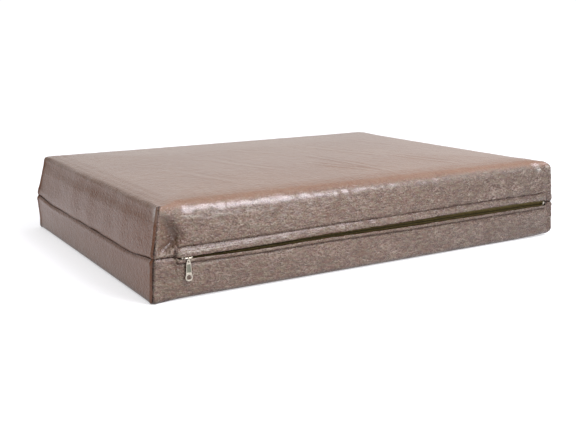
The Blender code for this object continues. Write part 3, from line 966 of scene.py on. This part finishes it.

# %% [markdown]
# ## The vinyl's finish
#
# The cover is leather-look vinyl: a brown film with a pressed grain, smooth where it is
# stretched over the top and scuffed to a pebbled, mottled surface where it was handled.
# One material serves every side, because the masks say where the grain is strong. The grain
# is a sum of cells, a web of creases and a drawn-out mottle. A clear coat, fed by the gloss
# mask, gives the bright line on the folds. The colour carries painted light as well: paler on
# the grain's rises, darker in its dips, creases and seams, and on the left wall.


# %% Vinyl
GRAIN_DEPTH = 0.0019
# Colour of the painted shade in the seams, the sunken facet and the foot.
PAINTED_SHADE_TONE = (0.014, 0.003, 0.002, 1)


def vinyl_tone(vinyl, rough, web, pebble, clouds, mottle):
    """Brown in faint patches, darker where the cloth is crumpled, with painted light and shade."""
    patches = vinyl.noise(vinyl.place(), 7.0, 2.0)
    base = vinyl.tint(patches.rise(0.35, 0.7), (0.175, 0.087, 0.051, 1), (0.195, 0.103, 0.062, 1))
    # Painted highlight and shade on the grain: paler olive on the mottle's rises, darker red-brown in
    # its dips.
    base = vinyl.tint(mottle.rise(0.45, 0.62) * rough, base, (0.205, 0.150, 0.092, 1))
    base = vinyl.tint(mottle.rise(0.48, 0.36) * rough, base, (0.150, 0.066, 0.046, 1))
    # Painted shade on the left wall: where the gloss is 0 the brown turns darker and redder, for the
    # sheen it reflects less of.
    base = vinyl.tint(vinyl.mask("gloss").rise(0.08, 0.0), base, (0.150, 0.050, 0.014, 1))
    base = vinyl.tint(rough * 0.44, base, (0.020, 0.012, 0.008, 1))
    # Paler tops of the pebbles: partly rubbed wear, partly painted highlight.
    worn = (pebble.rise(0.25, 0.65) * clouds.rise(0.3, 0.7)) * (rough * 0.4)
    base = vinyl.tint(worn, base, (0.30, 0.235, 0.195, 1))
    # Painted shade along the web of creases.
    base = vinyl.tint(web.rise(0.05, 0.0) * rough * 0.6, base, (0.050, 0.025, 0.016, 1))
    # Painted shade from the seam mask: seam grooves, stitch rows, the sunken facet and the foot.
    return vinyl.tint(vinyl.mask("seam"), base, PAINTED_SHADE_TONE)


def vinyl_finish():
    vinyl = Finish("brown_vinyl")
    rough = vinyl.mask("crumple")
    clouds = vinyl.noise(vinyl.place(), 45.0, 3.0, 0.6)
    speckle = vinyl.noise(vinyl.place(), 600.0, 2.0, 0.6)
    pebble = vinyl.cells(vinyl.place((1.0, 1.0, 1.2)), 380.0, "SMOOTH_F1")
    web = vinyl.creases(vinyl.place((0.6, 1.0, 1.6), (0.0, radians(24), 0.0)), 85.0, 4.0, 0.6, 0.4)
    drawn = vinyl.place((0.5, 1.0, 1.3), (0.0, radians(-22), 0.0))
    mottle = vinyl.noise(drawn, 260.0, 3.0, 0.6, 0.6)
    base = vinyl_tone(vinyl, rough, web, pebble, clouds, mottle)
    grain = pebble * 0.9 + web * 2.0 + mottle * 0.9 + speckle * 0.2
    fine = vinyl.bump(grain * (clouds + 0.45) * (rough * 0.9 + 0.1), GRAIN_DEPTH)
    film = vinyl.mask("gloss") * (1 - vinyl.mask("seam"))
    vinyl.wear(Base_Color=base, Roughness=0.25 + speckle * 0.08, Normal=fine, Coat_Weight=film)
    return vinyl.wear(Specular_IOR_Level=0.45, Coat_Roughness=0.27)


VINYL_FINISH = vinyl_finish()
print("vinyl nodes:", len(VINYL_FINISH.node_tree.nodes))

# %% [markdown]
# The rims are widest along the front, where the cloth is loose over the foam's soft edge,
# and tight at the left end and in the left corners, where the seam pulls it to a point. The
# sheet gets the vinyl's thickness from Solidify, inwards. Each shell is cut as a cross: its
# panel and a wall on every side.

# %% Upper and lower shell
# Rim radii of the front, right, back and left, and of the left and the right corners
TOP_RIMS = (21 * MM, 16 * MM, 11 * MM, 6 * MM)
BASE_RIMS = (8 * MM, 8 * MM, 6 * MM, 4 * MM)
CORNER_RIM = (3.5 * MM, 10 * MM)
upper, upper_shell, upper_points = build_shell(
    "vinyl_upper_shell", 1, FLAP_HEIGHTS, FLAP_PROFILE, TOP_RIMS, CORNER_RIM
)
lower, lower_shell, lower_points = build_shell(
    "vinyl_lower_shell", -1, LIP_DEPTHS, LIP_PROFILE, BASE_RIMS, CORNER_RIM
)
for shell_object, node in ((upper, "cover_top"), (lower, "cover_bottom")):
    thick = shell_object.modifiers.new("vinyl", "SOLIDIFY")
    thick.thickness, thick.offset, thick.use_even_offset = VINYL, -1.0, False
    shell_object.data.materials.append(VINYL_FINISH)
    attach(shell_object, "bed")
    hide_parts(node)
    print(shell_object.name, len(shell_object.data.polygons), "faces")

# %% Cut of the two shells
LENGTH, WIDTH = 2 * HALF_LENGTH, 2 * HALF_WIDTH
for shell_object, tall in ((upper, HEIGHT - SEAM_Z), (lower, SEAM_Z)):
    cut = (LENGTH + 2 * tall, WIDTH + 2 * tall)
    cloth = LENGTH * WIDTH + 2 * tall * (LENGTH + WIDTH)
    print("cut of", shell_object.name, [round(side, 3) for side in cut], round(cloth, 3))

# %% [markdown]
# ## The foam
#
# Under the cover is one block of pale cut foam with open pores. Its edges are worn round, so
# the block is bevelled and then remeshed to even cells, which can bend. Where the cover sinks
# in at the front left corner the foam gives way, so the same push shapes both. Behind the zip
# the foam is painted dark, a painted shade for the shadow in the zip's gap.


# %% Foam
FOAM_CELL = 5 * MM
FOAM_EASE = 0.6 * MM
FOAM_ROUND = 24 * MM
FOAM_GIVE = 2 * MM
ZIP_GAP_SHADE_REACH = (9 * MM, 4 * MM)


def foam_finish():
    foam = Finish("cut_foam")
    pores = foam.cells(foam.place(), 900.0)
    shade = foam.noise(foam.place(), 40.0, 2.0)
    base = foam.tint(shade.rise(0.3, 0.7), (0.78, 0.70, 0.50, 1), (0.84, 0.77, 0.60, 1))
    base = foam.tint(pores.rise(0.35, 0.1), base, (0.48, 0.40, 0.24, 1))
    place = foam.node("ShaderNodeSeparateXYZ", {}, {0: foam.place()})
    from_zip = (Field(foam, place.outputs[2]) - ZIP_Z).size()
    # Painted shade on the foam behind the zip, where the flap shades the gap.
    base = foam.tint(from_zip.rise(*ZIP_GAP_SHADE_REACH), base, (0.050, 0.038, 0.012, 1))
    return foam.wear(Base_Color=base, Roughness=0.95, Normal=foam.bump(pores, 0.0006))


def soft_block():
    """The foam as a closed mesh of even cells with round edges."""
    bm = bmesh.new()
    bmesh.ops.create_cube(bm, size=1.0)
    size = (foam_high - foam_low) - Vector((2, 2, 1)) * FOAM_EASE
    middle = (foam_low + foam_high) / 2 - Vector((0, 0, FOAM_EASE / 2))
    bmesh.ops.scale(bm, vec=size, verts=bm.verts)
    bmesh.ops.translate(bm, vec=middle, verts=bm.verts)
    edges = bm.edges[:]
    bmesh.ops.bevel(bm, geom=edges, offset=FOAM_ROUND, segments=4, profile=0.5, affect="EDGES")
    mesh = bpy.data.meshes.new("foam_block")
    bm.to_mesh(mesh)
    bm.free()
    block = bpy.data.objects.new("foam_block", mesh)
    bpy.context.scene.collection.objects.link(block)
    remesh = block.modifiers.new("cells", "REMESH")
    remesh.mode, remesh.voxel_size = "VOXEL", FOAM_CELL
    graph = bpy.context.evaluated_depsgraph_get()
    block.data = bpy.data.meshes.new_from_object(block.evaluated_get(graph))
    block.modifiers.clear()
    return block


def add_foam():
    """The block, dented behind the sunken corner and leaning with the cover."""
    block = soft_block()
    mesh = block.data
    points = np.array([v.co for v in mesh.vertices])
    near_front = smooth(-foam_low.y - 40 * MM, -foam_low.y - 15 * MM, -points[:, 1])
    points[:, 1] -= np.minimum(facet_push(points, FACET_DEPTH + FOAM_GIVE), 0.0) * near_front
    points = lean_cover(points)
    mesh.vertices.foreach_set("co", points.reshape(-1))
    mesh.shade_smooth()
    mesh.materials.clear()
    mesh.materials.append(foam_finish())
    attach(block, "bed")
    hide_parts("foam_core")
    return block


foam = add_foam()
print("foam faces:", len(foam.data.polygons))

# %% [markdown]
# ## The zip
#
# A coil zip is two long springs of nylon sewn to two tapes, with rows of stitches beside it.
# All of these repeat a small shape along a line, which is what Geometry Nodes are for. The
# helpers below open a group with named inputs, close it with real geometry and a material,
# and run it on a bare line of points.


# %% Geometry node groups
def new_group(name, inputs):
    """A group that takes and gives a mesh. inputs are the named numbers it is set by."""
    tree = bpy.data.node_groups.new(name, "GeometryNodeTree")
    tree.interface.new_socket(name="Mesh", in_out="INPUT", socket_type="NodeSocketGeometry")
    tree.interface.new_socket(name="Mesh", in_out="OUTPUT", socket_type="NodeSocketGeometry")
    for label, value in inputs.items():
        kind = "NodeSocketInt" if isinstance(value, int) else "NodeSocketFloat"
        socket = tree.interface.new_socket(name=label, in_out="INPUT", socket_type=kind)
        socket.default_value = value
    graph = Graph(tree)
    entry = graph.node("NodeGroupInput")
    return graph, {socket.name: socket for socket in entry.outputs}


def close_group(graph, geometry, material):
    """Ends a group: real geometry, its material, the output."""
    whole = graph.node("GeometryNodeRealizeInstances", {}, {0: geometry}).outputs[0]
    finished = graph.node("GeometryNodeSetMaterial", {}, {"Geometry": whole, "Material": material})
    graph.node("NodeGroupOutput", {}, {0: finished.outputs[0]})
    return graph.tree


def grow(name, carrier, group, **inputs):
    """Runs a group on a mesh and returns the result as a plain mesh object."""
    modifier = carrier.modifiers.new("grow", "NODES")
    modifier.node_group = group
    for item in group.interface.items_tree:
        label = item.name.lower().replace(" ", "_")
        if item.in_out == "INPUT" and label in inputs:
            modifier[item.identifier] = inputs[label]
    graph = bpy.context.evaluated_depsgraph_get()
    mesh = bpy.data.meshes.new_from_object(carrier.evaluated_get(graph))
    mesh.name = name
    bpy.data.objects.remove(carrier, do_unlink=True)
    grown = bpy.data.objects.new(name, mesh)
    bpy.context.scene.collection.objects.link(grown)
    return grown


def path_object(points):
    """A bare line through the points, for a group to work on."""
    mesh = bpy.data.meshes.new("path")
    mesh.from_pydata([tuple(p) for p in points], [(i, i + 1) for i in range(len(points) - 1)], [])
    path = bpy.data.objects.new("path", mesh)
    bpy.context.scene.collection.objects.link(path)
    return path


# %% [markdown]
# One coil: the points of a straight line are moved round an oval as they go along it, and a
# round profile sweeps the result. The second coil starts half a turn later.


# %% Coil
COIL_STEPS = 10


def coil_group(material):
    inputs = {"Pitch": 1.3 * MM, "Height": 2.0 * MM, "Depth": 1.0 * MM, "Wire": 0.3 * MM}
    graph, given = new_group("coil", inputs | {"Phase": 0.0})
    line = graph.node("GeometryNodeMeshToCurve", {}, {0: given["Mesh"]}).outputs[0]
    spacing = Field(graph, given["Pitch"]) / COIL_STEPS
    values = {"Curve": line, "Length": spacing}
    even = graph.node("GeometryNodeResampleCurve", {"mode": "LENGTH"}, values)
    turn = Field(graph, graph.node("GeometryNodeInputIndex").outputs[0]) * (2 * pi / COIL_STEPS)
    turn = turn + Field(graph, given["Phase"])
    depth = turn.math("COSINE", turn) * (Field(graph, given["Depth"]) / 2)
    rise = turn.math("SINE", turn) * (Field(graph, given["Height"]) / 2)
    shift = graph.node("ShaderNodeCombineXYZ", {}, {1: depth, 2: rise}).outputs[0]
    values = {"Geometry": even.outputs[0], "Offset": shift}
    wound = graph.node("GeometryNodeSetPosition", {}, values)
    values = {"Resolution": 6, "Radius": given["Wire"]}
    ring = graph.node("GeometryNodeCurvePrimitiveCircle", {}, values)
    values = {"Curve": wound.outputs[0], "Profile Curve": ring.outputs[0]}
    swept = graph.node("GeometryNodeCurveToMesh", {}, values)
    return close_group(graph, swept.outputs[0], material)


# %% [markdown]
# A stitch is a small bead of thread, longer than it is thick, that lies along the row. Each
# one is turned a little at random, with a fixed seed, as a sewing machine leaves them. A bar
# tack is one thread laid in a tight zigzag, which a swept tube makes.


# %% Stitches and thread
def stitch_group(material):
    inputs = {"Pitch": 3.4 * MM, "Length": 2.4 * MM, "Thread": 0.9 * MM, "Seed": 4}
    graph, given = new_group("stitches", inputs)
    line = graph.node("GeometryNodeMeshToCurve", {}, {0: given["Mesh"]}).outputs[0]
    values = {"Curve": line, "Length": given["Pitch"]}
    even = graph.node("GeometryNodeResampleCurve", {"mode": "LENGTH"}, values)
    tangent = graph.node("GeometryNodeInputTangent").outputs[0]
    values = {"Min": (-0.05, -0.05, -0.05), "Max": (0.05, 0.05, 0.05), "Seed": given["Seed"]}
    wander = graph.node("FunctionNodeRandomValue", {"data_type": "FLOAT_VECTOR"}, values)
    aim = graph.node("ShaderNodeVectorMath", {"operation": "ADD"}, {0: tangent, 1: wander.outputs[0]})
    turn = graph.node("FunctionNodeAlignRotationToVector", {"axis": "X"}, {"Vector": aim.outputs[0]})
    bead = graph.node("GeometryNodeMeshUVSphere", {}, {"Segments": 8, "Rings": 6, "Radius": 0.5})
    thread = Field(graph, given["Thread"])
    size = graph.node("ShaderNodeCombineXYZ", {}, {0: given["Length"], 1: thread, 2: thread})
    values = {"Points": even.outputs[0], "Instance": bead.outputs[0], "Rotation": turn.outputs[0]}
    values["Scale"] = size.outputs[0]
    placed = graph.node("GeometryNodeInstanceOnPoints", {}, values)
    soft = graph.node("GeometryNodeSetShadeSmooth", {}, {"Geometry": placed.outputs[0]})
    return close_group(graph, soft.outputs[0], material)


def tube_group(material):
    graph, given = new_group("tube", {"Radius": 0.22 * MM})
    line = graph.node("GeometryNodeMeshToCurve", {}, {0: given["Mesh"]}).outputs[0]
    values = {"Resolution": 8, "Radius": given["Radius"]}
    ring = graph.node("GeometryNodeCurvePrimitiveCircle", {}, values)
    values = {"Curve": line, "Profile Curve": ring.outputs[0], "Fill Caps": True}
    swept = graph.node("GeometryNodeCurveToMesh", {}, values)
    return close_group(graph, swept.outputs[0], material)


# %% [markdown]
# The zip has four finishes: dull olive nylon, a twill tape whose ribs cross, brown thread,
# and nickel plate, which is cloudy and lightly scratched where fingers hold it.


# %% Zip finishes
def nylon_finish(name, dark, pale):
    nylon = Finish(name)
    shade = nylon.noise(nylon.place(), 300.0, 2.0)
    base = nylon.tint(shade.rise(0.3, 0.7), dark, pale)
    nylon.wear(Base_Color=base, Roughness=0.7 + shade * 0.1)
    return nylon.wear(Specular_IOR_Level=0.2)


def tape_finish():
    """Twill tape: fine ribs across the tape, crossed by the weft."""
    tape = Finish("olive_twill")
    split = tape.node("ShaderNodeSeparateXYZ", {}, {0: tape.place()})
    x, _, z = (Field(tape, socket) for socket in split.outputs)
    warp = x.math("SINE", (x + z * 0.6) * (2 * pi / (0.9 * MM)))
    weft = x.math("SINE", (z - x * 0.2) * (2 * pi / (0.6 * MM)))
    weave = warp * weft
    worn = tape.noise(tape.place(), 90.0, 3.0)
    base = tape.tint(worn.rise(0.3, 0.7), (0.110, 0.082, 0.022, 1), (0.160, 0.122, 0.040, 1))
    base = tape.tint(weave.rise(-0.6, 0.6), (0.080, 0.060, 0.016, 1), base)
    return tape.wear(Base_Color=base, Roughness=0.8, Normal=tape.bump(weave, 0.00012))


def nickel_finish(name, tone, polish):
    """Plated metal, a little cloudy, with a few hair scratches."""
    nickel = Finish(name)
    cloud = nickel.noise(nickel.place(), 180.0, 3.0)
    hair = nickel.creases(nickel.place((1.0, 1.0, 0.12)), 2200.0, 2.0)
    dark = tuple(channel * 0.8 for channel in tone) + (1.0,)
    base = nickel.tint(cloud.rise(0.3, 0.7), dark, tone + (1.0,))
    nickel.wear(Metallic=1.0, Base_Color=base, Roughness=polish + cloud * 0.12)
    return nickel.wear(Normal=nickel.bump(hair, 0.00004))


def thread_finish():
    thread = Finish("brown_thread")
    twist = thread.noise(thread.place((1.0, 1.0, 0.3)), 2500.0, 2.0)
    base = thread.tint(twist.rise(0.3, 0.7), (0.045, 0.022, 0.015, 1), (0.10, 0.055, 0.040, 1))
    return thread.wear(Base_Color=base, Roughness=0.6, Normal=thread.bump(twist, 0.00008))


COIL_FINISH = nylon_finish("olive_nylon", (0.070, 0.050, 0.014, 1), (0.110, 0.082, 0.026, 1))
TAPE_FINISH = tape_finish()
NICKEL_FINISH = nickel_finish("bright_nickel", (0.47, 0.43, 0.36), 0.24)
INLAY_FINISH = nickel_finish("dull_inlay", (0.19, 0.19, 0.15), 0.45)
THREAD_FINISH = thread_finish()
print("finishes:", [m.name for m in bpy.data.materials if not m.name.startswith("studio")])

# %% [markdown]
# Each tape is a thin strip that waves a little under the flap. Only the part that the hems
# leave room for is made. The coils run along the tapes' inner edges.


# %% Tapes and coils
TAPE_WAVE = 0.25 * MM
TAPE_SHOWN = 11.3 * MM
COIL_WIRE = 0.3 * MM


def add_tape(name, node):
    low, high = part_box(node)
    xs = np.linspace(ZIP_START + MM, ZIP_END - MM, 200)
    zs = np.linspace(max(low.z, ZIP_Z - TAPE_SHOWN), min(high.z, ZIP_Z + TAPE_SHOWN), 6)
    grid = np.array([(x, high.y, z) for x in xs for z in zs])
    grid[:, 1] += TAPE_WAVE * (soft_noise(grid, (25.0, 0.0, 60.0), 2.0) - 0.5)
    rows = len(zs)
    quads = [
        (i * rows + j, (i + 1) * rows + j, (i + 1) * rows + j + 1, i * rows + j + 1)
        for i in range(len(xs) - 1)
        for j in range(rows - 1)
    ]
    tape = mesh_object(name, grid, quads)
    thick = tape.modifiers.new("cloth", "SOLIDIFY")
    thick.thickness, thick.offset = high.y - low.y, 1.0
    tape.data.materials.append(TAPE_FINISH)
    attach(tape, "bed")
    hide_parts(node)
    return tape


def add_coil(name, node, group, phase):
    low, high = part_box(node)
    middle = (low + high) / 2
    ends = [(low.x + MM, middle.y, middle.z), (high.x - MM, middle.y, middle.z)]
    height = high.z - low.z - 2 * COIL_WIRE + 0.3 * MM
    depth = high.y - low.y - 2 * COIL_WIRE
    sizes = {"height": height, "depth": depth, "wire": COIL_WIRE, "phase": phase}
    coil = grow(name, path_object(ends), group, **sizes)
    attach(coil, "bed")
    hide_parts(node)
    return coil


add_tape("tape_upper", "zip_tape_upper")
add_tape("tape_lower", "zip_tape_lower")
wound = coil_group(COIL_FINISH)
upper_coil = add_coil("coil_upper", "zip_coil_upper", wound, 0.0)
lower_coil = add_coil("coil_lower", "zip_coil_lower", wound, pi)
print("coil faces:", len(upper_coil.data.polygons), len(lower_coil.data.polygons))

# %% [markdown]
# ## Stitches
#
# A row of topstitches runs above the zip and another below it, each in the groove that the
# thread pulls into the vinyl. The path of each row is one row of points of the shell, lifted
# by a third of the thread's thickness, so that the thread stands out of its groove. At both
# ends of the zip a bar tack of zigzag thread closes the seam.


# %% Stitch rows
STITCH_LIFT = 0.3 * MM
TACK_POINTS = 26


def row_path(shell, points, height):
    """Points along the front at one row of the shell, between the zip's ends."""
    row = int(np.argmin(np.abs(shell.rows - height)))
    front = np.arange(len(shell.base))[shell.face == 0] + row * len(shell.base)
    line = points[front]
    line = line[(line[:, 0] > ZIP_START + MM) & (line[:, 0] < ZIP_END - MM)]
    return line - np.array((0.0, STITCH_LIFT, 0.0))


def add_stitches(name, node, shell, points, height, group):
    row = grow(name, path_object(row_path(shell, points, height)), group)
    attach(row, "bed")
    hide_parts(node)
    return row


def add_tack(name, node, group):
    """A dense zigzag of thread over the end of the zip."""
    low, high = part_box(node)
    heights = np.linspace(low.z, high.z, TACK_POINTS)
    sides = np.where(np.arange(TACK_POINTS) % 2, low.x, high.x)
    line = np.column_stack([sides, np.full(TACK_POINTS, low.y), heights])
    tack = grow(name, path_object(line), group, radius=0.3 * MM)
    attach(tack, "bed")
    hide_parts(node)
    return tack


stitched = stitch_group(THREAD_FINISH)
tube = tube_group(THREAD_FINISH)
above = (upper_shell, upper_points, FLAP_STITCH_ROW)
below = (lower_shell, lower_points, LIP_STITCH_ROW)
row_above = add_stitches("stitches_above", "flap_stitching", *above, stitched)
row_below = add_stitches("stitches_below", "lip_stitching", *below, stitched)
print("stitch faces:", len(row_above.data.polygons), len(row_below.data.polygons))
add_tack("tack_left", "left_end_tack", tube)
add_tack("tack_right", "right_end_tack", tube)

# %% [markdown]
# ## Slider, stops and pull
#
# The slider and the stops are small plated parts, so the model's own shapes serve and only
# take a finish. The pull is the one shiny thing that everyone looks at. Its frame is a flat
# stamping with a bevelled edge, a slot near the hinge, a sunken middle and a holed end. A
# filled curve with an extrusion and a bevel is just such a stamping.


# %% Flat stampings
def outline(curve, points):
    """Adds a closed straight-sided outline to a flat curve."""
    spline = curve.splines.new("POLY")
    spline.points.add(len(points) - 1)
    for point, (x, y) in zip(spline.points, points):
        point.co = (x, y, 0.0, 1.0)
    spline.use_cyclic_u = True


def arc(centre, radius, start, end, steps):
    angles = np.radians(np.linspace(start, end, steps))
    return [(centre[0] + radius * cos(a), centre[1] + radius * sin(a)) for a in angles]


def rounded(points, radius=0.6 * MM, steps=5):
    """The outline with each corner rounded."""
    result = []
    for i, corner in enumerate(points):
        before, here = Vector(points[i - 1]), Vector(corner)
        after = Vector(points[(i + 1) % len(points)])
        a = here + (before - here).normalized() * radius
        b = here + (after - here).normalized() * radius
        for share in np.linspace(0, 1, steps):
            result.append(tuple(a.lerp(here, share).lerp(here.lerp(b, share), share)))
    return result


def stamping(name, outlines, thickness, bevel, material, place):
    """A flat part cut to the outlines, the first outside and the rest holes."""
    curve = bpy.data.curves.new(name, "CURVE")
    curve.dimensions = "2D"
    curve.fill_mode = "BOTH"
    curve.extrude = thickness / 2 - bevel
    curve.bevel_depth = bevel
    curve.bevel_resolution = 2
    curve.offset = -bevel
    for points in outlines:
        outline(curve, points)
    flat = bpy.data.objects.new(name, curve)
    bpy.context.scene.collection.objects.link(flat)
    graph = bpy.context.evaluated_depsgraph_get()
    mesh = bpy.data.meshes.new_from_object(flat.evaluated_get(graph))
    bpy.data.objects.remove(flat, do_unlink=True)
    mesh.transform(place @ Matrix.Rotation(pi / 2, 4, "X"))
    mesh.materials.clear()
    mesh.materials.append(material)
    part = bpy.data.objects.new(name, mesh)
    bpy.context.scene.collection.objects.link(part)
    return part


# %% [markdown]
# The pull is drawn flat, hanging down from its hinge, and the eye that holds the bridge is a
# round wire spun into a ring.


# %% Pull and plated parts
PULL_SHOULDER = 2.8 * MM
PULL_WAIST = 3.5 * MM
PULL_HOLE = 2.8 * MM
EYE_RADIUS = 1.3 * MM
EYE_WIRE = 0.42 * MM


def pull_outlines(ring, end):
    """The outside of the frame, then its slot, its window and its hole."""
    side = [(1.1 * MM, -1.0 * MM), (PULL_SHOULDER, -6.0 * MM), (PULL_WAIST, end[1] + 3.4 * MM)]
    outer = [(-x, y) for x, y in side] + arc(end, ring, 140, 400, 26) + side[::-1]
    slot = [(0.0, -2.6 * MM), (1.3 * MM, -5.2 * MM), (-1.3 * MM, -5.2 * MM)]
    top, foot = -7.0 * MM, -16.6 * MM
    window = [(-2.0 * MM, top), (-2.7 * MM, foot), (2.7 * MM, foot), (2.0 * MM, top)]
    return outer, slot, window, arc(end, PULL_HOLE, 0, 345, 24)


def eye_ring(place):
    bm = bmesh.new()
    bmesh.ops.create_circle(bm, segments=12, radius=EYE_WIRE)
    bmesh.ops.translate(bm, vec=(0.0, EYE_RADIUS, 0.0), verts=bm.verts)
    wire = bm.verts[:] + bm.edges[:]
    bmesh.ops.spin(bm, geom=wire, cent=(0, 0, 0), axis=(1, 0, 0), angle=2 * pi, steps=28)
    bmesh.ops.remove_doubles(bm, verts=bm.verts, dist=1e-6)
    bmesh.ops.recalc_face_normals(bm, faces=bm.faces)
    mesh = bpy.data.meshes.new("pull_eye")
    bm.to_mesh(mesh)
    bm.free()
    mesh.transform(place)
    mesh.shade_smooth()
    mesh.materials.append(NICKEL_FINISH)
    eye = bpy.data.objects.new("pull_eye", mesh)
    bpy.context.scene.collection.objects.link(eye)
    return eye


def add_pull():
    middle = Vector(((pull_low.x + pull_high.x) / 2, (pull_low.y + pull_high.y) / 2, ZIP_Z))
    place = Matrix.Translation(middle)
    ring = (pull_high.x - pull_low.x) / 2
    outer, slot, window, hole = pull_outlines(ring, (0.0, pull_low.z - ZIP_Z + ring))
    lines = [outer, rounded(slot, 0.5 * MM), rounded(window), hole]
    frame_part = stamping("pull_frame", lines, 1.1 * MM, 0.2 * MM, NICKEL_FINISH, place)
    inlay = stamping("pull_inlay", [window], 0.5 * MM, 0.05 * MM, INLAY_FINISH, place)
    parts = (frame_part, inlay, eye_ring(place))
    for part in parts:
        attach(part, "pull")
    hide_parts("pull_tab")
    return parts


print("pull faces:", [len(part.data.polygons) for part in add_pull()])
for node in ("slider_body", "top_stop_upper", "top_stop_lower", "bottom_stop"):
    frame["nodes"][node].data.materials.clear()
    frame["nodes"][node].data.materials.append(NICKEL_FINISH)
